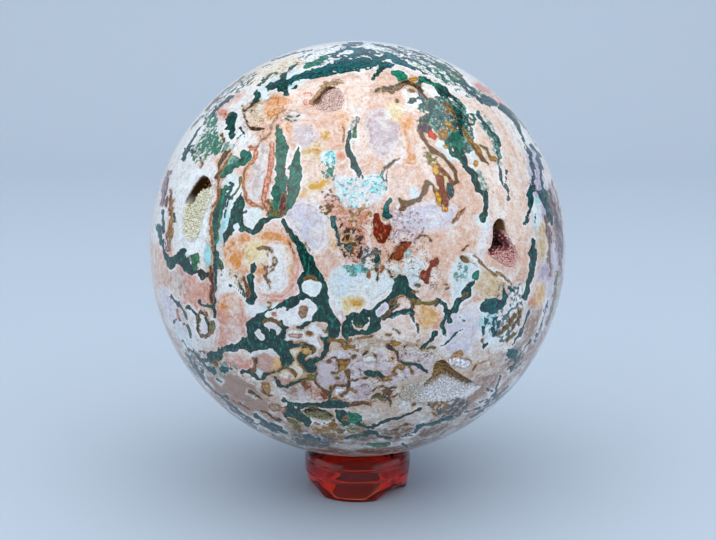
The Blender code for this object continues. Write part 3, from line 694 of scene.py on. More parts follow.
# %% Moss of the upper half
MOSS_ABOVE = {
    "upper left streak": "deep 229,113 236,112 237,116 235,123 235,135 232,140 229,138 229,131 226,129 228,125 "
                         "225,122 226,120",
    "streak ticks": "slate w2>1 241,105 244,110 | 240,127 245,137",
    "band to the orange patch": "deep 243,111 247,107 250,104 254,99 254,93 256,90 259,90 261,94 261,99 "
                                "258,102 253,105 249,108 245,112",
    "top mass": "deep 266,86 269,83 275,82 279,79 279,75 282,73 285,75 285,79 290,79 292,77 296,74 302,73 "
                "306,71 312,71 313,78 306,77 299,77 293,79 290,82 291,87 288,90 290,95 288,96 284,95 281,91 "
                "278,92 276,89 272,91 268,91",
    "top mass drip": "deep 292,83 298,83 298,87 291,89",
    "bits on the rim": "deep 320,57 324,56 327,58 325,61 321,61 | 262,77 267,78 265,80",
    "olive link": "olive w2 309,64 319,59",
    "rim strokes": "slate w1.6 271,60 279,58 | 276,58 290,54 299,52 304,51 | 328,55 335,53 341,49 | "
                   "330,57 345,57 | 340,47 362,45 | 348,42 362,41",
    "rim strokes two": "blue w2 341,54 352,55 360,51 | 366,63 376,64 384,66",
    "blue over the top": "slate 354,50 362,49 370,52 376,56 372,58 362,57 354,57",
    "top right strand": "blue 384,54 390,52 396,55 400,60 408,63 413,66 415,70 411,69 404,66 396,64 390,60",
    "top right lens": "slate w3>1 400,52 408,57 | 420,58 428,61",
    "arch line": "brown 376,92 380,89 384,87 389,88 396,87 399,85 401,82 408,81 412,81 417,83 415,85 410,85 "
                 "404,86 400,89 396,91 393,95 390,94 388,91 382,91",
    "arch dots": "slate w3 411,90 413,90 | 419,98 420,98",
    "arch lens low": "teal 407,100 411,99 416,98 417,100 413,103 409,103",
    "green over moss": "deep 423,78 430,78 435,83 439,86 445,87 449,90 450,94 448,98 443,96 438,92 436,87 "
                       "429,83",
    "line down the moss": "deep w3>2 449,94 455,98 460,104 462,110 464,118",
    "moss ridge left": "teal w4>3 421,79 418,86 420,94 423,100 420,108",
    "moss clump a": "deep 427,100 434,99 436,106 433,114 430,122 424,128 418,128 420,121 427,116 428,108",
    "moss clump b": "deep 449,104 457,108 463,116 464,128 461,138 458,126 454,116 450,110",
    "moss clump c": "spike 452,132 459,130 464,138 465,150 464,164 458,158 452,148 448,140",
    "moss clump d": "teal 436,108 442,110 446,118 443,122 438,118",
    "moss crumbs": "deep w2 440,102 446,104 | 438,128 442,124 446,128 | 446,112 450,116",
    "olive fan": "olive w3>2 435,64 442,67 | 448,74 455,80 462,86 | 452,72 460,78 466,84",
    "green grey fan": "slate w2 440,66 448,74 456,84 | 411,54 421,58 430,62 440,68",
    "rim chain": "slate 459,85 463,86 470,90 476,95 482,99 487,98 491,101 496,106 492,107 487,106 482,104 "
                 "477,99 470,93 463,89",
    "right rim": "deep 499,106 505,107 509,111 513,117 518,122 521,129 519,133 516,128 512,121 507,115 "
                 "502,111",
    "right rim thread": "slate w2 521,133 524,141 527,150 530,152 533,165 533,180 534,190",
    "outer rim thread": "slate w1.5 505,104 513,113 521,122 530,133 537,146",
    "teal by the rim": "teal w4>3 531,145 536,151",
    "grey green thread": "mist w3 479,113 482,120 487,130 494,138 497,146 500,158",
    "thread left of it": "mist w2 458,99 464,108 466,115 472,119 474,125 466,121",
    "left teal band": "deep w5>4 221,190 219,200 217,212 214,225 215,240 215,254 219,262",
    "teal thread": "teal w3>2 232,184 228,194 224,204 221,214",
    "wedge": "deep 241,193 245,199 244,207 242,215 244,222 246,228 241,231 239,225 237,222 234,227 232,235 "
             "228,239 226,243 224,247 223,240 222,236 226,230 229,222 231,212 233,205 236,200",
    "wedge top": "olive w3>2 241,178 239,187 235,193 231,200",
    "chain": "deep w5 240,229 247,230 254,233 259,229 263,223 269,219 275,217 284,211",
    "dot in the pool": "slate w3 245,212 247,212",
    "left spike": "spike 277,123 280,128 283,134 286,141 289,149 287,156 285,163 286,170 287,180 287,192 285,204 "
                  "281,213 275,218 270,221 266,221 269,211 271,206 271,198 272,190 275,182 275,172 276,160 275,150 "
                  "276,140 275,131",
    "right spike": "spike 298,146 301,150 300,158 302,167 302,176 300,187 298,195 295,203 291,209 286,213 "
                   "284,206 287,194 288,180 290,165 294,157 297,150",
    "spike foot": "deep 266,217 274,215 284,211 288,213 281,216 272,220 264,224 259,229 254,232 252,229 258,222",
    "grey line by oval": "mist w2 400,158 393,163 386,168 382,172 384,180",
    "arc by cyan": "mist w1.5 388,168 387,178 386,190",
    "lens arcs": "teal w1.5 288,116 294,117 300,116 | 286,119 293,120 298,121",
    "green in blob": "green w3 329,169 332,174",
    "right green band": "deep 458,142 464,142 465,150 467,158 469,165 473,170 477,173 479,180 481,187 484,190 "
                        "488,192 487,200 489,207 487,215 485,222 481,222 480,216 483,210 483,203 481,196 477,192 "
                        "473,186 470,178 468,172 462,165 458,158",
    "band upper edge": "spike w4 446,142 450,149 456,155 462,162",
    "right teal threads": "slate w2 496,142 498,155 501,178 506,190 | 506,172 507,185 508,200",
    "rim teal": "teal w4>3 531,190 530,200 529,210 526,220 524,224",
    "in the rim lens": "teal w2.5 536,216 535,223",
    "rim grey teal": "slate w6>4 540,192 545,203 548,212 547,222",
    "limb threads": "slate w1.5 191,128 204,114 | 217,98 226,90 236,82 | 214,107 231,97 | 186,147 182,160",
    "limb tick": "teal w3 188,148 184,160",
    "limb ticks": "slate w2 193,145 192,153 | 196,152 202,160",
    "left rim stripes": "slate w3 163,210 163,232 | 174,213 175,222",
    "left rim teal": "teal w3 158,230 161,240 165,252",
    "upper green": "green 303,66 308,62 316,60 322,56 327,56 328,59 320,63 313,67 306,69",
    "upper curve": "deep w2.5 281,79 286,73 291,68 298,64",
    "streaks by the top mass": "moldgreen w2.5>1 262,80 270,75 277,72 | 258,86 264,81 270,78",
    "dark on the rim": "umber w1.5 272,60 282,57 292,54 | 303,52 311,50 | 262,68 270,64",
    "strand to the arch": "teal w5>3 362,57 374,59 384,58 392,56 | 386,56 396,60 406,65 415,70",
    "arch leg": "deep w5>3 384,67 378,72 373,80",
    "arch lens": "green 391,71 398,70 404,73 409,79 405,82 399,80 394,76",
    "rim streaks right": "olive w1.6 398,46 415,52 430,58 445,66 458,76 | 420,50 436,57 450,66 462,76",
    "rim streaks dark": "umber w1.5 408,49 424,55 438,62 | 444,64 456,73 468,83",
    "rim streaks green": "green w3>2 446,72 453,79 462,85 | 436,70 442,76 448,82",
    "rim streaks slate": "slate w2 404,58 414,61 424,66 432,72 | 412,66 420,71 428,75",
    "rim blob": "moldgreen w4>2 437,63 444,66 449,70",
    "rim teal chain": "teal w4 460,82 468,86 474,91 | 483,96 490,99 496,104",
    "right rim thick": "deep w6>3 501,106 508,112 514,120 519,130 523,138",
    "thread on the band": "slate w4>3 478,112 483,122 490,131 497,138 500,146",
    "green ring": "green w2.5 466,116 471,114 475,119 472,124 467,123",
    "tooth": "spike 240,152 246,150 251,152 251,159 246,164 238,167 234,171 229,173 225,178 220,177 222,170 "
             "228,164 236,161 239,157",
    "tooth root": "mist 228,158 236,156 240,160 234,164 227,163",
    "left rim foot": "teal w5>3 158,226 161,240 165,252",
    "black star": "deep w1.8 239,127 243,134 246,139 | 243,133 238,139",
    "teal above crystal": "teal 390,197 393,202 388,209 392,216 387,219 382,215 385,207",
    "slate lens in field": "slate w4.5>3 332,218 336,230 340,245",
    "blue blob in grains": "slate 344,244 349,242 354,246 353,251 347,252",
    "V at the rim": "teal w5>3 531,190 530,205 527,222 | 541,192 546,204 549,220",
    "blue streaks": "blue w2.5 330,57 338,52 348,49 360,49 | 344,45 354,43 364,43 | 334,62 346,58 358,56",
    "slate streaks top": "slate w2.5 362,48 372,51 380,55 | 372,44 384,46 396,50 | 392,56 402,60 412,66",
    "sky windows": "ice hole 351,60 357,57 366,57 374,60 378,63 370,65 360,66 353,64",
    "sky windows two": "mist hole 318,71 326,68 334,66 342,65 340,68 330,71 320,74",
    "cyan windows": "aqua hole 286,84 292,82 298,82 296,86 290,88",
    "green band start": "green w5 421,80 430,82 438,86",
    "cell blob": "deep 408,100 412,97 417,98 417,101 412,103 408,103",
    "lens streaks": "slate w4>3 529,150 533,168 534,190 | 538,154 541,172 543,190",
    "teal bundle": "green w5>3 226,188 222,202 219,220 216,244",
    "teal bundle thin": "teal w2 231,184 228,200 225,218 | 213,206 213,226 213,246",
    "limb ticks upper left": "slate w2.5 205,122 196,134 188,148 | 212,116 222,104 232,96",
    "right V leg": "slate w5>3 545,191 550,206 552,224",
    "top band left": "teal 284,85 292,77 302,72 312,69 324,66 332,64 332,74 326,76 314,79 304,79 296,81 290,85",
    "top band low edge": "teal w2.5>1 332,74 346,71 360,70 372,68",
    "top band teal": "teal 328,66 338,62 348,59 362,58 374,59 386,61 396,64 390,68 378,66 364,68 350,69 338,72",
    "cyan flecks in the mass": "mist d0.15 428,98 448,98 466,112 474,136 470,152 452,148 438,134 424,116",
    "crescent": "deep 349,130 351,130 351,137 350,144 351,149 353,153 356,158 357,164 359,168 356,171 353,169 350,164 "
                "348,158 346,152 346,144 347,136",
    "crescent foot": "teal w4>2 355,163 358,169 361,174 363,179 | 354,167 357,173 359,178",
    "hook": "moldgreen w4 355,128 355,135",
    "hook tail": "grey w2.5 356,127 358,121 357,116",
}
print(len(MOSS_ABOVE), "moss entries above")

# %% Moss of the lower half
MOSS_BELOW = {
    "left thread": "teal w3 163,246 166,256 169,266 173,268",
    "green tuft": "moldgreen 190,256 193,253 198,254 199,260 197,266 198,272 193,270 192,262",
    "dark chain": "umber 196,270 203,270 208,273 213,268 216,270 216,276 207,278 202,281 197,274",
    "left seam pale": "olive w3>1 216,262 221,268 222,275",
    "left rim blade": "slate w4>2 170,296 178,304 184,312 186,319",
    "loop lead": "deep w3 187,307 192,311 198,316 199,321 | 200,300 201,305 208,306 214,309 215,317",
    "loop": "umber w3.5 201,312 206,318 209,324 210,330 208,334 202,336 199,332 198,326 198,318",
    "green by loop": "green 211,320 215,323 215,329 212,334 210,328",
    "left small darks": "slate w3 184,324 189,330 191,337 | 174,322 180,320",
    "left limb threads": "slate w1.5 194,360 203,373 | 191,362 196,370 | 182,340 190,352",
    "feeder": "deep 282,217 285,219 288,225 294,232 300,239 305,245 310,254 314,262 318,269 323,276 326,283 "
              "328,292 328,300 330,308 335,316 338,318 339,324 339,334 336,338 330,339 323,338 328,334 326,331 "
              "330,326 322,322 314,322 304,328 296,328 300,322 312,318 316,308 312,302 306,298 300,296 299,291 "
              "298,287 297,281 299,277 303,272 302,265 299,258 297,250 294,244 290,237 285,229 281,222",
    "web bar": "deep 289,329 285,331 284,337 286,341 291,343 297,344 301,341 306,342 310,347 313,352 315,355 "
               "318,357 322,353 324,348 323,342 318,335 322,330 330,330 336,338 330,345 328,352 324,358 317,362 "
               "310,362 304,366 296,362 290,364 284,366 281,361 276,354 268,352 258,351 250,353 243,350 "
               "232,350 218,349 226,345 236,343 243,337 247,337 247,330 245,325 251,317 260,313 268,309 "
               "276,306 284,300 290,297 300,294 306,298 300,306 290,311 280,310 272,318 282,322 290,327",
    "web tail": "slate 196,355 202,358 210,356 220,349 232,347 240,346 238,351 222,353 210,361 202,361",
    "hexagon window": "ice hole 302,285 305,281 310,280 315,280 319,281 322,287 320,292 317,297 313,297 "
                      "307,294 303,291",
    "white boomerang": "snow hole 266,313 270,310 277,308 285,307 290,309 295,307 300,303 305,300 310,300 "
                       "314,304 317,308 315,315 312,320 306,322 300,325 294,324 287,326 284,323 280,319 276,316 "
                       "270,318 263,317",
    "cream island": "snow hole 286,331 297,330 303,330 307,327 313,325 320,328 326,331 328,334 323,337 "
                    "318,335 316,337 318,342 320,347 319,353 315,355 312,350 309,345 305,341 301,340 297,343 "
                    "291,342 287,341 285,336",
    "island left": "milk hole 264,324 268,322 275,324 279,328 281,333 277,334 275,330 270,328 269,332 267,328",
    "island small": "milk hole 256,331 259,329 262,334 265,339 260,340 257,336",
    "inner strokes": "green w1.5 277,309 285,303 | 287,310 296,303 | 282,308 290,302",
    "dot in island": "umber w3 307,334 311,334",
    "right web": "deep 354,313 360,315 361,311 365,308 369,311 373,308 378,303 383,299 389,297 391,291 393,285 "
                 "397,279 399,275 400,272 402,275 406,275 408,279 409,285 413,289 416,291 415,295 419,297 418,301 "
                 "415,303 411,302 406,298 402,296 398,297 397,302 395,307 392,310 389,313 385,317 381,320 "
                 "378,328 370,332 360,328 356,320",
    "right web hooks": "deep w2 389,271 395,278 400,277 | 391,276 397,281",
    "right block": "deep 341,336 341,323 345,320 346,316 350,313 356,312 361,316 365,312 369,311 374,310 377,314 "
                   "378,318 380,322 381,328 377,331 372,334 366,336 360,335 356,334 350,336 346,338",
    "web window": "lavender hole 375,313 379,307 384,303 388,304 389,309 385,314 381,318 377,317",
    "ring window": "sand hole w2 352,321 354,326 358,329 363,330 367,327 369,322 368,318",
    "blue dark lens": "ink 382,316 386,311 392,310 392,314 387,318",
    "speck in ring": "moldgreen w3 362,319 366,323",
    "narrow spike": "deep 253,262 256,264 255,270 253,278 254,288 256,296 256,302 252,305 247,302 247,298 "
                    "250,294 249,285 250,276 251,268",
    "right crack mass": "deep 467,284 472,281 476,281 473,285 471,288 472,293 470,297 465,300 460,303 459,308 "
                        "457,314 455,312 450,316 446,321 444,325 445,329 447,332 446,336 443,336 442,331 440,327 "
                        "439,324 442,321 446,317 449,312 452,306 455,301 457,297 461,296 463,291 466,286",
    "crack crumbs": "green 471,276 475,272 479,271 480,275 478,280 474,280",
    "arch low": "teal w3 436,306 440,300 444,305 447,312 445,318",
    "right mass": "teal 479,306 482,302 487,299 495,299 500,300 504,300 506,303 504,307 500,309 496,313 492,315 "
                  "488,312 483,311 480,309",
    "right mass top": "teal 503,292 505,287 506,291 508,296 506,302 503,300",
    "right mass twig": "teal w3>2 509,287 513,291 518,292",
    "right teal strap": "deep 531,246 534,246 536,250 537,258 535,264 533,272 531,280 529,288 527,295 525,300 "
                        "523,299 525,291 527,283 529,275 529,267 531,260 532,254",
    "right strap dot": "teal 531,240 534,239 536,244 534,250 532,246",
    "slate line": "slate w2.5 529,311 527,318 524,326 521,333 516,340 513,345",
    "low right twigs": "teal w2 494,318 493,326 496,332 500,333 | 492,328 495,332 493,337 | "
                       "498,318 500,322 497,330",
    "low right spots": "ink w2.5 482,328 482,330 | 485,321 485,323 | 483,340 483,342 | 484,347 488,344",
    "spot by crack": "teal w2 460,317 464,320 | 446,287 447,287",
    "low teal patch": "teal 505,357 508,353 506,348 510,350 516,350 518,356 512,358",
    "low teal tail": "slate w3>1 516,356 514,366 509,374",
    "lower right lens": "deep 438,331 433,331 431,337 427,341 422,345 419,348 421,350 425,349 427,346 430,343 "
                        "433,340 436,336",
    "lens tail": "olive w2 427,349 435,347",
    "grey green line": "teal w1.8 462,330 456,334 450,339 445,344 441,346",
    "tongue stem": "slate 411,312 414,310 415,314 413,318 414,323 412,321 411,317",
    "tongue stroke": "brown w2 416,323 418,328 419,333",
    "line to tongue": "mist w2 391,318 397,315 404,313 411,312",
    "green lens low": "deep 364,373 367,370 372,370 378,371 382,373 385,375 388,376 385,378 384,381 381,380 "
                      "379,377 373,377 367,376",
    "low band": "deep 282,398 288,400 289,402 296,403 302,404 308,402 315,402 322,401 330,400 338,400 344,401 "
                "349,402 351,405 349,408 343,407 336,408 330,409 324,408 316,407 308,407 303,408 297,408 291,407 "
                "287,404 283,402",
    "cell stalk": "deep w3 290,365 296,370 300,375 | 304,364 306,372 | 311,360 309,370",
    "green diagonal": "deep 289,404 296,410 302,416 307,420 312,421 309,427 303,424 298,418 292,412 286,406",
    "diagonal side": "ink w3 283,413 287,419",
    "left teal blobs": "teal 212,368 216,368 216,373 213,374 | 220,367 228,368 227,373 221,372 | "
                       "228,366 232,367 231,370",
    "left twig": "deep 240,371 246,370 251,371 251,374 245,373 243,377 240,374",
    "low darks": "slate w2.5 225,396 228,398 | 239,403 241,404 | 216,379 222,382 | 248,392 256,396",
    "limb streaks": "slate w2 230,408 244,418 256,428 | 530,362 515,385 495,402 470,418 | 501,376 497,388 | "
                    "490,389 496,398 | 260,424 272,427 280,430",
    "low blob": "ink 253,414 257,414 260,418 257,420 254,418",
    "low slate": "slate 260,423 265,422 270,425 278,427 279,430 271,430 264,427",
    "slate at the foot": "slate w3 304,436 312,437 320,440 | 402,444 407,446",
    "dot at the foot": "teal w3 338,432 340,432",
    "foot strokes": "teal w3.5 346,438 352,436 362,435",
    "green tip": "moldgreen w3 354,438 358,438",
    "olive low right": "olive w2.5 402,436 410,435",
    "green under slot": "green 340,416 350,413 360,415 362,421 352,424 342,421",
    "dark by cell": "ink w2 336,410 341,414 348,415 351,418",
    "left clump": "deep 162,248 168,256 174,256 180,250 186,248 188,258 192,266 198,272 190,275 184,269 178,264 "
                  "172,269 166,262",
    "left seam": "teal w4>3 215,262 215,285 214,298 214,310",
    "yellow green branch": "moldgreen w3>2 217,258 222,264 223,272",
    "slate by the nodule": "slate w2 234,274 240,284 246,296",
    "column": "deep 279,348 292,348 293,362 290,370 283,370 279,362",
    "column right": "deep 298,352 318,350 314,360 317,369 308,374 301,370 299,360",
    "teal mass by slot": "deep 283,406 292,407 302,412 311,418 310,426 302,423 294,418 287,416",
    "slate streaks": "slate w3 256,414 262,420 270,424 282,428 | 264,426 276,430 288,433",
    "blue blob low": "slate 336,428 341,427 345,430 342,434 337,433",
    "right of slot": "deep 336,411 342,410 348,414 350,420 346,426 340,422 336,417",
    "S line": "ink w3 354,418 360,424 367,428 380,423 392,419 400,418 410,413 421,409",
    "teal line": "teal w4>3 415,432 420,426 431,424 441,421 452,416",
    "green low": "deep w6>2 365,434 374,433 380,437 391,438",
    "green lowest": "moldgreen w4 368,444 378,445 389,444",
    "teal mass low left": "deep 207,353 214,351 222,353 221,361 213,362 208,359",
    "right limb low": "slate w2 486,388 492,396 498,390 | 480,402 494,398 508,386 | 466,412 484,406 500,394",
    "narrow spike foot": "deep w7>5 251,276 251,288 249,300",
    "slate by the spike": "slate w2 229,284 238,290 246,299",
    "tongue right band": "deep w4.5 437,300 443,303 447,312 449,322",
    "arch under the window": "deep w4 384,319 394,314 404,311 412,311",
    "arch foot": "deep w4>3 411,303 412,312 414,322",
    "right band low": "deep w7>5 533,250 532,268 529,284 525,298",
    "limb lines left": "slate w2.5 186,352 194,366 204,378 | 192,350 202,362 212,372",
    "limb lines right": "slate w2 548,300 542,322 534,342 | 530,340 520,356 508,370",
    "limb lines low left": "slate w2 206,384 222,398 240,412 258,425 | 198,372 207,384 215,392",
    "mottle low right": "teal w2.5 484,316 486,320 | 482,326 484,334 | 492,330 497,334 | 496,318 499,324",
    "knot right side": "deep 404,280 409,286 414,292 420,299 412,301 405,297 398,294 396,284",
    "web low fill": "deep w6 256,344 268,347 280,346 290,344",
    "web between the islands": "ink w4 281,322 284,330 283,338",
    "band twig": "deep w4>3 331,388 330,394 331,401",
    "long line": "deep w3.5>4 397,358 400,361 405,364 411,365 416,364 420,366 424,369 426,372",
    "tip in the ochre": "slate w4>2 346,335 347,341 346,347",
    "strand under the cells": "deep w4.5 250,370 254,375 258,379 | 262,379 266,374 272,371 279,369 284,366",
    "loop under the oval": "deep w4 276,378 278,383 282,387 288,386",
    "dark line": "deep w4>3 288,386 296,382 304,380 311,377 316,374",
    "white neck": "cream hole 290,352 295,348 302,347 301,351 297,355 298,362 303,369 307,373 313,372 304,376 297,379 291,378 "
                  "289,372 289,365 294,362 293,357",
    "tail under the ochre": "snow hole w3 318,350 315,355 309,357 306,360",
    "ochre island": "ochrepale hole 302,349 308,348 313,350 312,354 306,355 302,353",
    "pink island": "dustpink hole 256,356 262,353 269,352 274,357 276,367 270,372 264,371 258,364",
    "pink island rim": "milk hole 251,354 255,351 261,351 266,349 271,348 277,353 279,357 274,357 268,354 262,355 258,359 254,358",
    "pink island side": "apricot hole 273,354 278,357 281,362 281,367 276,370 272,367 274,360",
    "oval": "cream hole s1 282,371 286,369 289,372 290,378 287,380 281,379 280,375",
    "oval foot": "dustpink hole 280,377 285,376 290,378 288,383 284,386 280,383",
}
print(len(MOSS_BELOW), "moss entries below")
